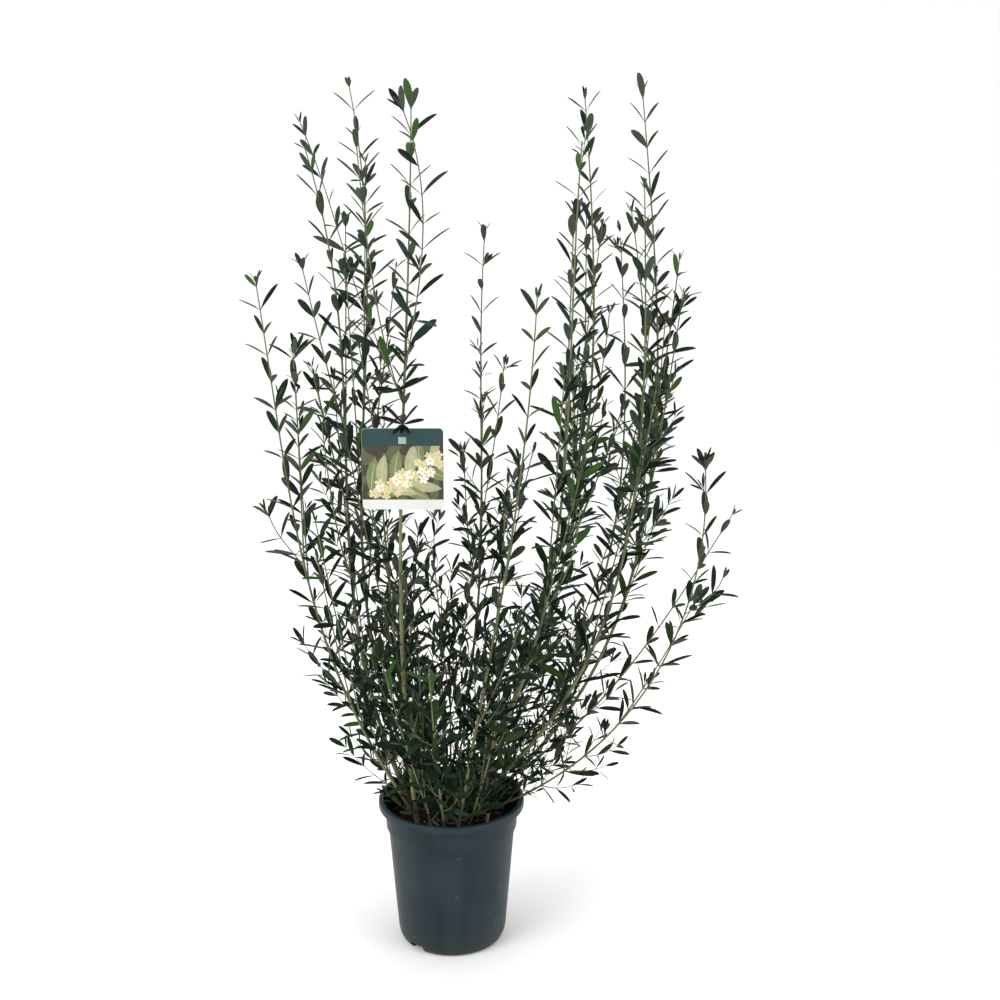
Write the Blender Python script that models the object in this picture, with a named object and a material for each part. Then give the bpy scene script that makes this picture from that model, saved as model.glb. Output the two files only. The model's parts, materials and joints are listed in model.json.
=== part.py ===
"""Potted phillyrea: a narrow-leaved evergreen shrub of many slender wands in a nursery pot.

Metres, +Z up. The origin is the middle of the pot's flat underside, +X is the side that the
longest wands lean to, and -Y is the front, where a plant label is tied to one stem.

Every wand is one smooth curve from its foot on the soil to its tip. Its bare lower part is a
bough of its own, and the leafy rest is a mass of foliage: the wand's thinner end, its forks,
side shoots that a seeded rule sets in the leaf joints, and opposite pairs of narrow leaves,
each pair turned a quarter round from the pair below.
"""

import bmesh
import bpy
import numpy as np
from collections import namedtuple
from math import cos, pi, radians, sin, sqrt, tau
from mathutils import Matrix, Vector
from random import Random

GAP = 0.0003                      # between pieces that touch

# The pot: a turned shell with a folded lip, a collar band and a tapering wall.
POT_HEIGHT = 0.241
POT_SIDES = 30
LIP_RADIUS = 0.115
LIP_INNER_RADIUS = 0.107
LIP_HEIGHT = 0.0125
LIP_ROUND = 0.0015
COLLAR_TOP_RADIUS = 0.1055
COLLAR_FOOT_RADIUS = 0.1040
COLLAR_HEIGHT = 0.034             # below the lip
STEP_IN = 0.0032
STEP_DROP = 0.003
WALL = 0.0020
HEEL_RADIUS = 0.0860              # where the wall turns in to the underside
HEEL_HEIGHT = 0.020
HEEL_STEPS = 3
FOOT_RADIUS = 0.072
FLOOR = 0.0025

# Drainage notches through the turn between wall and underside.
NOTCHES = 3
NOTCH_WIDTH = 0.027
NOTCH_HEIGHT = 0.010
NOTCH_DEPTH = 0.040               # through the wall, from outside to inside
NOTCH_RISE = 0.0015               # of a notch above the pot's floor
NOTCH_HEADING = radians(228)

# The potting soil.
SOIL_TOP = 0.216
SOIL_SHOULDER = 0.010             # the worn edge of the soil along the pot's wall

# The plant label, tied round the front stem.
LABEL_WIDTH = 0.118
LABEL_HEIGHT = 0.122
LABEL_THICKNESS = 0.0008
LABEL_CORNER = 0.006
LABEL_TOP = 0.868
STRAP_WIDTH = 0.010               # its height, along the stem
STRAP_THICKNESS = 0.0006
STRAP_LEVEL = LABEL_TOP - 0.018
STRAP_SPAN = 0.0100               # across the loop, between the middles of its two sides
STRAP_CORNER = 0.0012
STRAP_SLACK = 0.0008              # behind the stem, which leans a little in the plumb loop
SLOT_WIDTH = 0.0022
SLOT_MARGIN = 0.0012              # of the slot above and below the strap

# How wands grow. Leans are in degrees from upright, towards +X.
HANDLE = 0.38                     # of the chord, for the curve's two handles
OUTWARD_FIRST = 0.55              # share of the depth that the lower handle takes
OUTWARD_LAST = 0.97
BOUGH_SIDES = 5
TWIG_SIDES = 3
TWIG_FULLNESS = 1.20              # a three-sided twig is as thick as a round one of this radius
TIP_RADIUS = 0.0012
TAPER = 0.85                      # 1 is an even taper; less keeps a wand's lower part thick
TOP_LEAVES = 0.025                # how far a wand's last leaves reach past its stem
FLARE = 1.35                      # of a bough's foot on the soil
FLARE_LENGTH = 0.012
BOUGH_STEP = 0.065
NEAR = 0.002                      # a curve's direction is read this far to each side
TAKEN_STEP = 0.020                # a curve is tested for room in stretches this long

# Leaves.
LEAF_SPACING = 0.115              # between pairs along a wand
LEAF_LENGTH = 0.054
LEAF_WIDTH = 0.0135
LEAF_THICKNESS = 0.0014
LEAF_WIDEST = 0.45
LEAF_SPREAD = (34.0, 54.0)        # degrees between leaf and twig, from the tip down
LEAF_ROOT = 0.05                  # of the twig's radius, from its middle to a leaf's root
LAST_LEAVES = 0.0025              # from the last pair to the twig's end
LEAF_BACK = 0.0004                # a leaf's root lies this far below its joint
LEAF_TWIST = 0.25                 # radians a pair is turned out of its quarter
LEAF_SWING = 8.0                  # degrees that a leaf's spread varies
LEAF_VARIES = (0.85, 1.10)
TIP_LEAF_SHARE = 0.72             # a tip's leaves are shorter

# Side shoots in the leaf joints.
SHOOT_SHARE = 0.36                # of the joints that carry one
SHOOT_LENGTH = (0.05, 0.14)
SHOOT_REACH = 0.52                # no side shoot above this share of the wand
SHOOT_SPREAD = (32.0, 48.0)
SHOOT_RADIUS = 0.0012
SHOOT_SPACING = 0.060
BRANCH_ROLL = radians(60)
BRANCH_TURN = radians(23)         # more for each further fork of one wand
BRANCH_SUNK = 0.0007
SHOOT_BEND = 0.55                 # share of its length where it turns up
SHOOT_BARE = 0.45
SHOOT_CHANCE = 0.3                # how readily a shoot takes the lower side of its joint
FIRST_LEAVES = 0.020              # from a bough's end to the first pair
FORK_BARE = 0.055
FORK_ANGLE = radians(30)
FORK_HANDLE = 0.25                # of the chord
FORK_GIRTH = 0.8                  # of the wand's own radius at the fork

CLEAR = 0.0010                    # between foliage and any other piece
BLADE_PART = (0.10, 0.90)         # the stretch of a leaf that is tested at its full width
RIM_CLEAR = 0.006
SEED = 41

Wand = namedtuple("Wand", "name foot tip lean_foot lean_tip girth bare")
Fork = namedtuple("Fork", "wand share tip lean_tip")

# foot: X, Y on the soil; tip: X, Y, Z that the top leaves reach; girth: radius at the foot;
# bare: length of the bough.
WANDS = (
    Wand("left_arch", (-0.050, -0.036), (-0.264, -0.140, 1.112), -30, -7, 0.0036, 0.13),
    Wand("left_tall", (-0.060, 0.012), (-0.219, 0.100, 1.268), -26, -16, 0.0052, 0.26),
    Wand("back_left", (-0.045, 0.045), (-0.151, 0.130, 1.356), -26, -10, 0.0046, 0.20),
    Wand("inner_left", (-0.040, 0.008), (-0.136, 0.020, 0.984), -14, -10, 0.0040, 0.22),
    Wand("front", (-0.051, -0.060), (-0.044, -0.105, 1.350), -6, 1, 0.0056, 0.668),
    Wand("back_middle", (-0.012, 0.062), (0.055, 0.240, 1.126), 16, 4, 0.0040, 0.20),
    Wand("front_middle", (0.012, -0.062), (0.128, -0.240, 1.108), 8, 3, 0.0040, 0.18),
    Wand("right_front", (-0.010, -0.035), (0.188, -0.200, 1.320), 32, 4, 0.0050, 0.28),
    Wand("right_back", (0.008, 0.036), (0.200, 0.100, 1.341), 32, -5, 0.0054, 0.30),
    Wand("back_right", (0.010, 0.070), (0.213, 0.240, 1.157), 38, 0, 0.0040, 0.20),
    Wand("right_inner", (0.008, -0.004), (0.278, -0.080, 1.233), 50, -2, 0.0046, 0.24),
    Wand("right_tall", (0.042, 0.012), (0.281, 0.060, 1.354), 50, -6, 0.0048, 0.26),
    Wand("right_low", (0.027, -0.021), (0.376, -0.060, 0.829), 70, -5, 0.0030, 0.12),
    Wand("right_outer", (0.031, 0.030), (0.457, 0.120, 0.692), 63, 30, 0.0030, 0.14),
    Wand("right_rear", (0.028, 0.052), (0.262, 0.200, 1.131), 50, -4, 0.0038, 0.18),
)

# share: of the wand's length, where the fork leaves it.
FORKS = (
    Fork("left_arch", 0.48, (-0.272, -0.060, 0.752), -14),
    Fork("left_tall", 0.36, (-0.195, 0.050, 0.860), -4),
    Fork("back_left", 0.70, (-0.238, 0.200, 1.296), -22),
    Fork("inner_left", 0.55, (-0.100, 0.100, 0.860), 4),
    Fork("front", 0.615, (-0.126, -0.060, 1.302), -4),
    Fork("front", 0.625, (-0.061, -0.220, 1.356), -22),
    Fork("front", 0.640, (-0.114, -0.170, 1.069), -20),
    Fork("back_middle", 0.52, (0.086, 0.140, 0.932), 6),
    Fork("back_middle", 0.40, (0.016, 0.190, 0.780), -4),
    Fork("front_middle", 0.45, (0.129, -0.150, 0.868), 14),
    Fork("right_front", 0.34, (0.190, -0.200, 0.800), 2),
    Fork("right_back", 0.50, (0.235, 0.140, 1.150), 6),
    Fork("back_right", 0.55, (0.248, 0.150, 1.012), 4),
    Fork("right_inner", 0.55, (0.300, -0.140, 0.960), 8),
    Fork("right_tall", 0.62, (0.262, -0.010, 1.190), -10),
    Fork("right_low", 0.62, (0.415, -0.090, 0.660), 20),
    Fork("right_rear", 0.50, (0.330, 0.190, 0.900), 14),
)

# Low leafy shoots that rise from the soil all round the wands.
LOW_SHOOTS = 11
LOW_HEADING = radians(20)
LOW_TURN = radians(137.5)
LOW_NUDGE = radians(6)
LOW_TRIES = 60
LOW_SLANT = 25.0                  # degrees of lean at the foot of a shoot towards +X
LOW_CLEAR = 0.006
LOW_FOOT_RADIUS = (0.030, 0.080)
LOW_LENGTH = (0.26, 0.42)
LOW_LEAN = (4.0, 22.0)
LOW_GIRTH = 0.0028
LOW_BARE = 0.030
LOW_SPACING = 0.050

COLORS = {
    "pot": (0.045, 0.057, 0.064, 1.0),
    "soil": (0.022, 0.017, 0.013, 1.0),
    "bark": (0.205, 0.160, 0.095, 1.0),
    "leaf": (0.035, 0.068, 0.038, 1.0),
    "card": (0.620, 0.650, 0.600, 1.0),
    "strap": (0.560, 0.700, 0.620, 1.0),
}
ROUGHNESS = {"pot": 0.36, "soil": 0.95, "bark": 0.72, "leaf": 0.42, "card": 0.35, "strap": 0.45}


def clear_scene():
    for thing in list(bpy.data.objects):
        bpy.data.objects.remove(thing, do_unlink=True)


def material(name):
    made = bpy.data.materials.get(name)
    if made:
        return made
    made = bpy.data.materials.new(name)
    made.use_nodes = True
    shader = made.node_tree.nodes["Principled BSDF"]
    shader.inputs["Base Color"].default_value = COLORS[name]
    shader.inputs["Roughness"].default_value = ROUGHNESS[name]
    shader.inputs["Metallic"].default_value = 0.0
    return made


def add_object(name, mesh, finish):
    thing = bpy.data.objects.new(name, mesh)
    mesh.materials.append(material(finish))
    bpy.context.scene.collection.objects.link(thing)
    return thing


def mesh_from(name, bm):
    bmesh.ops.recalc_face_normals(bm, faces=bm.faces)
    mesh = bpy.data.meshes.new(name)
    bm.to_mesh(mesh)
    bm.free()
    return mesh


def turned_mesh(name, profile, sides):
    """A closed turned body: the profile runs from axis to axis, and its ends lie on the axis."""
    bm = bmesh.new()
    rings = []
    for radius, height in profile:
        if radius == 0:
            rings.append([bm.verts.new((0, 0, height))])
            continue
        ring = []
        for side in range(sides):
            angle = tau * side / sides
            ring.append(bm.verts.new((radius * cos(angle), radius * sin(angle), height)))
        rings.append(ring)
    for below, above in zip(rings, rings[1:]):
        for side in range(sides):
            after = (side + 1) % sides
            corners = []
            for ring, pick in ((below, side), (below, after), (above, after), (above, side)):
                corner = ring[pick % len(ring)]
                if corner not in corners:
                    corners.append(corner)
            bm.faces.new(corners)
    return mesh_from(name, bm)


def shade_round(thing, angle=radians(35)):
    thing.data.shade_smooth()
    thing.data.set_sharp_from_angle(angle=angle)


def subtract(thing, cutters):
    for cutter in cutters:
        cut = thing.modifiers.new("cut", "BOOLEAN")
        cut.operation = "DIFFERENCE"
        cut.solver = "EXACT"
        cut.object = cutter
        cutter.hide_render = True
        cutter.display_type = "WIRE"


def box_cutter(name, size, place):
    bm = bmesh.new()
    bmesh.ops.create_cube(bm, size=1.0)
    bmesh.ops.scale(bm, vec=size, verts=bm.verts)
    bmesh.ops.transform(bm, matrix=place, verts=bm.verts)
    mesh = mesh_from(name, bm)
    cutter = bpy.data.objects.new(name, mesh)
    bpy.context.scene.collection.objects.link(cutter)
    return cutter


def wall_radius(height):
    """The outer radius of the pot's wall below the lip."""
    collar_foot = POT_HEIGHT - LIP_HEIGHT - COLLAR_HEIGHT
    body_top = collar_foot - STEP_DROP
    if height >= collar_foot:
        share = (height - collar_foot) / COLLAR_HEIGHT
        return COLLAR_FOOT_RADIUS + share * (COLLAR_TOP_RADIUS - COLLAR_FOOT_RADIUS)
    body_radius = COLLAR_FOOT_RADIUS - STEP_IN
    share = (height - HEEL_HEIGHT) / (body_top - HEEL_HEIGHT)
    return HEEL_RADIUS + min(share, 1.0) * (body_radius - HEEL_RADIUS)


def heel_curve(inset):
    """Points of the round turn from the underside up to the wall."""
    points = []
    for step in range(HEEL_STEPS + 1):
        turn = pi / 2 * step / HEEL_STEPS
        radius = FOOT_RADIUS + (HEEL_RADIUS - FOOT_RADIUS) * sin(turn) - inset
        height = HEEL_HEIGHT * (1 - cos(turn)) + inset * cos(turn)
        points.append((radius, height))
    return points


def build_pot():
    collar_top = POT_HEIGHT - LIP_HEIGHT
    collar_foot = collar_top - COLLAR_HEIGHT
    body_top = collar_foot - STEP_DROP
    outer = [(0, 0)]
    outer += heel_curve(0)
    outer += [
        (COLLAR_FOOT_RADIUS - STEP_IN, body_top),
        (COLLAR_FOOT_RADIUS, collar_foot),
        (COLLAR_TOP_RADIUS, collar_top),
        (LIP_RADIUS - LIP_ROUND / 2, collar_top),
        (LIP_RADIUS, collar_top + LIP_ROUND),
        (LIP_RADIUS, POT_HEIGHT - LIP_ROUND),
        (LIP_RADIUS - LIP_ROUND, POT_HEIGHT),
        (LIP_INNER_RADIUS, POT_HEIGHT),
    ]
    inner = [
        (COLLAR_TOP_RADIUS - WALL, collar_top),
        (COLLAR_FOOT_RADIUS - WALL, collar_foot),
        (COLLAR_FOOT_RADIUS - STEP_IN - WALL, body_top),
    ]
    inner += [(radius, max(height, FLOOR)) for radius, height in reversed(heel_curve(WALL))]
    inner[-1] = (FOOT_RADIUS - WALL, FLOOR)
    inner.append((0, FLOOR))
    pot = add_object("pot", turned_mesh("pot", outer + inner, POT_SIDES), "pot")
    cutters = []
    for notch in range(NOTCHES):
        heading = NOTCH_HEADING + tau * notch / NOTCHES
        middle = Vector((HEEL_RADIUS, 0, FLOOR + NOTCH_RISE + NOTCH_HEIGHT / 2))
        turn = Matrix.Rotation(heading, 4, "Z")
        size = Vector((NOTCH_DEPTH, NOTCH_WIDTH, NOTCH_HEIGHT))
        cutters.append(box_cutter(f"notch_{notch + 1}", size, turn @ Matrix.Translation(middle)))
    subtract(pot, cutters)
    shade_round(pot)
    return pot


def build_soil():
    top = SOIL_TOP
    edge = wall_radius(top - SOIL_SHOULDER) - WALL - GAP
    collar_foot = POT_HEIGHT - LIP_HEIGHT - COLLAR_HEIGHT
    body_top = collar_foot - STEP_DROP
    profile = [(0, FLOOR + GAP), (FOOT_RADIUS - WALL - GAP, FLOOR + GAP)]
    for radius, height in heel_curve(WALL)[1:]:
        profile.append((radius - GAP, max(height, FLOOR) + GAP))
    profile += [
        (COLLAR_FOOT_RADIUS - STEP_IN - WALL - GAP, body_top - GAP),
        (COLLAR_FOOT_RADIUS - WALL - 2 * GAP, collar_foot + GAP),
        (edge - GAP, top - SOIL_SHOULDER),
        (edge - SOIL_SHOULDER, top),
        (0, top),
    ]
    soil = add_object("soil", turned_mesh("soil", profile, POT_SIDES), "soil")
    shade_round(soil, radians(50))
    return soil


def curve_point(handles, t):
    a, b, c, d = handles
    s = 1 - t
    return a * s**3 + b * (3 * s * s * t) + c * (3 * s * t * t) + d * t**3


def lean_vector(degrees):
    return Vector((sin(radians(degrees)), 0, cos(radians(degrees))))


def wand_handles(wand):
    foot = Vector((*wand.foot, SOIL_TOP + GAP))
    tip = Vector(wand.tip) - lean_vector(wand.lean_tip) * TOP_LEAVES
    chord = (tip - foot).length
    depth = tip.y - foot.y
    low = foot + lean_vector(wand.lean_foot) * (HANDLE * chord)
    high = tip - lean_vector(wand.lean_tip) * (HANDLE * chord)
    low.y = foot.y + OUTWARD_FIRST * depth
    high.y = foot.y + OUTWARD_LAST * depth
    return foot, low, high, tip


def fork_handles(start, direction, fork):
    """A fork leaves its wand at an angle, then turns up to its own tip."""
    tip = Vector(fork.tip) - lean_vector(fork.lean_tip) * TOP_LEAVES
    chord = (tip - start).length
    towards = tip - start
    outward = (towards - direction * towards.dot(direction)).normalized()
    leaving = direction * cos(FORK_ANGLE) + outward * sin(FORK_ANGLE)
    low = start + leaving * (FORK_HANDLE * chord)
    high = tip - lean_vector(fork.lean_tip) * (HANDLE * chord)
    return start, low, high, tip


class Path:
    """A smooth curve that can be read by length along it."""

    def __init__(self, handles, samples=64):
        self.handles = handles
        self.params = [step / samples for step in range(samples + 1)]
        self.points = [curve_point(handles, t) for t in self.params]
        self.reach = [0.0]
        for before, after in zip(self.points, self.points[1:]):
            self.reach.append(self.reach[-1] + (after - before).length)
        self.length = self.reach[-1]

    def at(self, distance):
        distance = min(max(distance, 0.0), self.length)
        t = float(np.interp(distance, self.reach, self.params))
        return curve_point(self.handles, t)

    def direction(self, distance):
        ahead = self.at(min(distance + NEAR, self.length))
        behind = self.at(max(distance - NEAR, 0.0))
        return (ahead - behind).normalized()


def branch_mesh(name, stations, order=0):
    """A branch is rolled against its parent stem and starts a little below the joint."""
    point, direction, radius = stations[0]
    first = (point - direction * (BRANCH_SUNK * (order + 1)), direction, radius)
    roll = BRANCH_ROLL + BRANCH_TURN * order
    return limb_mesh(name, [first] + stations[1:], TWIG_SIDES, roll=roll)


def side_of(direction, roll):
    """A unit vector square to the direction, turned round it by roll."""
    reference = Vector((0, 1, 0)) if abs(direction.y) < 0.9 else Vector((1, 0, 0))
    side = direction.cross(reference).normalized()
    return Matrix.Rotation(roll, 3, direction) @ side


def limb_mesh(name, stations, sides, flat_foot=False, roll=0.0):
    """A closed tapering limb through stations of (point, direction, radius)."""
    bm = bmesh.new()
    rings = []
    for index, (point, direction, radius) in enumerate(stations):
        level = flat_foot and index == 0
        along = Vector((0, 0, 1)) if level else direction
        ring = []
        for side in range(sides):
            spoke = side_of(along, roll + tau * side / sides)
            ring.append(bm.verts.new(point + spoke * radius))
        rings.append(ring)
    for below, above in zip(rings, rings[1:]):
        for side in range(sides):
            after = (side + 1) % sides
            bm.faces.new((below[side], below[after], above[after], above[side]))
    bm.faces.new(list(reversed(rings[0])))
    bm.faces.new(rings[-1])
    return mesh_from(name, bm)


def leaf_mesh(name, root, axis, across, length, width):
    """A closed leaf of eight faces, pointed at both ends and widest below its middle."""
    normal = axis.cross(across).normalized()
    widest = root + axis * (length * LEAF_WIDEST)
    half = LEAF_THICKNESS / 2
    bm = bmesh.new()
    foot = bm.verts.new(root)
    tip = bm.verts.new(root + axis * length)
    belt = [
        bm.verts.new(widest + across * (width / 2)),
        bm.verts.new(widest + normal * half),
        bm.verts.new(widest - across * (width / 2)),
        bm.verts.new(widest - normal * half),
    ]
    for corner in range(4):
        after = (corner + 1) % 4
        bm.faces.new((foot, belt[after], belt[corner]))
        bm.faces.new((tip, belt[corner], belt[after]))
    return mesh_from(name, bm)


class Space:
    """The stretches that pieces take up, each a line with a radius and an owner."""

    def __init__(self):
        self.starts = []
        self.ends = []
        self.radii = []
        self.owners = []

    def take(self, owner, start, end, radius):
        self.starts.append(tuple(start))
        self.ends.append(tuple(end))
        self.radii.append(radius)
        self.owners.append(owner)

    def nearest(self, owner, start, end, radius):
        """How far a new stretch would stay from every piece of another owner."""
        others = np.array([name != owner for name in self.owners])
        if not others.any():
            return 1.0
        p = np.array(self.starts)[others]
        q = np.array(self.ends)[others]
        reach = np.array(self.radii)[others]
        return float((line_distance(np.array(start), np.array(end), p, q) - reach).min()) - radius


def line_distance(a, b, p, q):
    """The least distance from the stretch a-b to each stretch p-q."""
    u = b - a
    v = q - p
    w = a - p
    uu = u @ u
    uv = v @ u
    vv = np.einsum("ij,ij->i", v, v)
    uw = w @ u
    vw = np.einsum("ij,ij->i", v, w)
    flat = np.maximum(uu * vv - uv * uv, 1e-12)
    s = np.clip((uv * vw - vv * uw) / flat, 0, 1)
    t = np.clip((uv * s + vw) / np.maximum(vv, 1e-12), 0, 1)
    s = np.clip((uv * t - uw) / uu, 0, 1)
    apart = w + s[:, None] * u - t[:, None] * v
    return np.sqrt(np.einsum("ij,ij->i", apart, apart))


class Shrub:
    """Holds every wand's paths, and grows each one's foliage in its own space."""

    def __init__(self):
        self.random = Random(SEED)
        self.space = Space()
        self.label_box = None

    def radius_at(self, girth, path, distance):
        left = 1 - distance / path.length
        return TIP_RADIUS + (girth - TIP_RADIUS) * max(left, 0.0) ** TAPER

    def hits_pot_or_label(self, point, margin):
        around = sqrt(point.x**2 + point.y**2)
        low = point.z < POT_HEIGHT + RIM_CLEAR + margin
        if low and around > wall_radius(SOIL_TOP) - WALL - RIM_CLEAR - margin:
            return True
        if point.z < SOIL_TOP + RIM_CLEAR + margin:
            return True
        lower, upper = self.label_box
        inside = [lower[axis] - margin < point[axis] < upper[axis] + margin for axis in range(3)]
        return all(inside)

    def fits(self, owner, start, end, radius):
        for share in (0.0, 0.25, 0.5, 0.75, 1.0):
            if self.hits_pot_or_label(start.lerp(end, share), radius + CLEAR):
                return False
        return self.space.nearest(owner, start, end, radius) > CLEAR

    def path_room(self, owner, path, girth):
        """The least room between a whole path and the pieces of other owners."""
        points = [path.at(stop) for stop in spaced(0.0, path.length, TAKEN_STEP)]
        stretches = zip(points, points[1:])
        return min(self.space.nearest(owner, low, high, girth) for low, high in stretches)

    def take_path(self, owner, path, girth, start, end):
        stops = spaced(start, end, TAKEN_STEP)
        for low, high in zip(stops, stops[1:]):
            radius = self.radius_at(girth, path, low) * TWIG_FULLNESS
            self.space.take(owner, path.at(low), path.at(high), radius)


def low_wand(shrub, index):
    """A low shoot stands a golden turn on from the last, and further on where it isn't clear."""
    heading = LOW_HEADING + LOW_TURN * index
    foot_radius = shrub.random.uniform(*LOW_FOOT_RADIUS)
    length = shrub.random.uniform(*LOW_LENGTH)
    lean = radians(shrub.random.uniform(*LOW_LEAN))
    out = foot_radius + length * sin(lean)
    best = None
    for attempt in range(LOW_TRIES):
        turned = heading + LOW_NUDGE * attempt
        foot = (foot_radius * cos(turned), foot_radius * sin(turned))
        tip = (out * cos(turned), out * sin(turned), SOIL_TOP + length * cos(lean))
        slant = LOW_SLANT * cos(turned)
        wand = Wand(f"low_{index + 1}", foot, tip, slant, slant / 5, LOW_GIRTH, LOW_BARE)
        path = Path(wand_handles(wand))
        room = shrub.path_room(wand.name, path, LOW_GIRTH)
        if best is None or room > best[0]:
            best = (room, wand, path)
        if room > LOW_CLEAR:
            break
    return best[1], best[2]


def spaced(start, end, step):
    """Even stops from start to end, about a step apart, both ends included."""
    count = max(1, round((end - start) / step))
    return [start + (end - start) * index / count for index in range(count + 1)]


def leafy_stops(path, first, step):
    """Where a twig's pairs of leaves stand, the last one just short of its end."""
    return spaced(first, path.length - LAST_LEAVES, step)


def stations_at(shrub, path, girth, stops, fullness):
    return [(path.at(stop), path.direction(stop), shrub.radius_at(girth, path, stop) * fullness)
            for stop in stops]


def build_bough(shrub, wand, path):
    stations = stations_at(shrub, path, wand.girth, spaced(0.0, wand.bare, BOUGH_STEP), 1.0)
    point, direction, radius = stations[0]
    above = (path.at(FLARE_LENGTH), path.direction(FLARE_LENGTH), radius)
    stations = [(point, direction, radius * FLARE), above] + stations[1:]
    bough = add_object(f"bough_{wand.name}",
                       limb_mesh(f"bough_{wand.name}", stations, BOUGH_SIDES, flat_foot=True),
                       "bark")
    shade_round(bough, radians(70))
    return bough


def grow_leaves(shrub, owner, path, girth, stops, parts, roll):
    """A pair of leaves at each stop along a twig, each pair a quarter turn on from the last."""
    joints = []
    for index, stop in enumerate(stops):
        direction = path.direction(stop)
        point = path.at(stop)
        share = stop / path.length
        turn = roll + index * pi / 2 + shrub.random.uniform(-LEAF_TWIST, LEAF_TWIST)
        spread = LEAF_SPREAD[1] + (LEAF_SPREAD[0] - LEAF_SPREAD[1]) * share
        size = 1 - (1 - TIP_LEAF_SHARE) * share
        radius = shrub.radius_at(girth, path, stop)
        for half in (0, pi):
            out = side_of(direction, turn + half)
            angle = radians(spread + shrub.random.uniform(-LEAF_SWING, LEAF_SWING))
            length = LEAF_LENGTH * size * shrub.random.uniform(*LEAF_VARIES)
            width = LEAF_WIDTH * size * shrub.random.uniform(*LEAF_VARIES)
            axis = (direction * cos(angle) + out * sin(angle)).normalized()
            across = direction.cross(out).normalized()
            root = point + out * (radius * LEAF_ROOT) - direction * LEAF_BACK
            low = root + axis * (length * BLADE_PART[0])
            high = root + axis * (length * BLADE_PART[1])
            if not shrub.fits(owner, low, high, width / 2):
                continue
            shrub.space.take(owner, low, high, width / 2)
            parts.append(leaf_mesh("leaf", root, axis, across, length, width))
        joints.append((stop, point, direction, turn))
    return joints


def grow_shoots(shrub, owner, path, joints, parts):
    """Side shoots in some leaf joints of the lower wand, each with pairs of its own."""
    for stop, point, direction, turn in joints:
        lucky = shrub.random.random() < SHOOT_SHARE
        if not lucky or stop > path.length * SHOOT_REACH:
            continue
        sides = [side_of(direction, turn + half) for half in (0, pi)]
        out = max(sides, key=lambda side: side.z + shrub.random.uniform(0, SHOOT_CHANCE))
        angle = radians(shrub.random.uniform(*SHOOT_SPREAD))
        axis = (direction * cos(angle) + out * sin(angle)).normalized()
        length = shrub.random.uniform(*SHOOT_LENGTH)
        bend = point + axis * (length * SHOOT_BEND)
        tip = bend + (axis + direction).normalized() * (length * (1 - SHOOT_BEND))
        if not shrub.fits(owner, point.lerp(tip, BLADE_PART[0]), tip, SHOOT_RADIUS):
            continue
        twig = Path((point, point.lerp(bend, 0.6), bend, tip), 16)
        shrub.take_path(owner, twig, SHOOT_RADIUS, 0.0, twig.length)
        stops = leafy_stops(twig, twig.length * SHOOT_BARE, SHOOT_SPACING)
        stations = stations_at(shrub, twig, SHOOT_RADIUS, [0.0] + stops + [twig.length],
                               TWIG_FULLNESS)
        parts.append(branch_mesh("shoot", stations))
        grow_leaves(shrub, owner, twig, SHOOT_RADIUS, stops, parts, turn + pi / 2)


def keep_one_body(mesh):
    """Drops loose scraps, and fills hollows that the union sealed, by dropping their skin."""
    bm = bmesh.new()
    bm.from_mesh(mesh)
    left = set(bm.faces)
    islands = []
    while left:
        island = [left.pop()]
        for face in island:
            for edge in face.edges:
                for beside in edge.link_faces:
                    if beside in left:
                        left.remove(beside)
                        island.append(beside)
        islands.append(island)
    islands.sort(key=len)
    for island in islands[:-1]:
        bmesh.ops.delete(bm, geom=island, context="FACES")
    bm.to_mesh(mesh)
    bm.free()


def build_mass(wand, stem, parts):
    """One union of a wand's leafy stem with its forks, side shoots and leaves."""
    mass = add_object(f"foliage_{wand.name}", stem, "leaf")
    group = bpy.data.collections.new(f"parts_{wand.name}")
    bpy.context.scene.collection.children.link(group)
    for mesh in parts:
        group.objects.link(bpy.data.objects.new(mesh.name, mesh))
    join = mass.modifiers.new("join", "BOOLEAN")
    join.operation = "UNION"
    join.operand_type = "COLLECTION"
    join.solver = "MANIFOLD"
    join.collection = group
    seen = mass.evaluated_get(bpy.context.evaluated_depsgraph_get())
    joined = bpy.data.meshes.new_from_object(seen)
    mass.modifiers.clear()
    mass.data = joined
    for piece in list(group.objects):
        bpy.data.objects.remove(piece, do_unlink=True)
    bpy.data.collections.remove(group)
    keep_one_body(joined)
    joined.materials.clear()
    joined.materials.append(material("leaf"))
    return mass


def strap_place(path):
    """How far up the front stem the strap holds it, and the stem's middle there."""
    distance = 0.0
    while path.at(distance).z < STRAP_LEVEL:
        distance += NEAR
    return distance, path.at(distance)


def rounded_outline(width, height, corner, steps=4):
    points = []
    for quarter in range(4):
        middle_x = (width / 2 - corner) * (1 if quarter in (0, 3) else -1)
        middle_z = (height / 2 - corner) * (1 if quarter in (0, 1) else -1)
        for step in range(steps + 1):
            angle = pi / 2 * (quarter + step / steps)
            points.append((middle_x + corner * cos(angle), middle_z + corner * sin(angle)))
    return points


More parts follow.
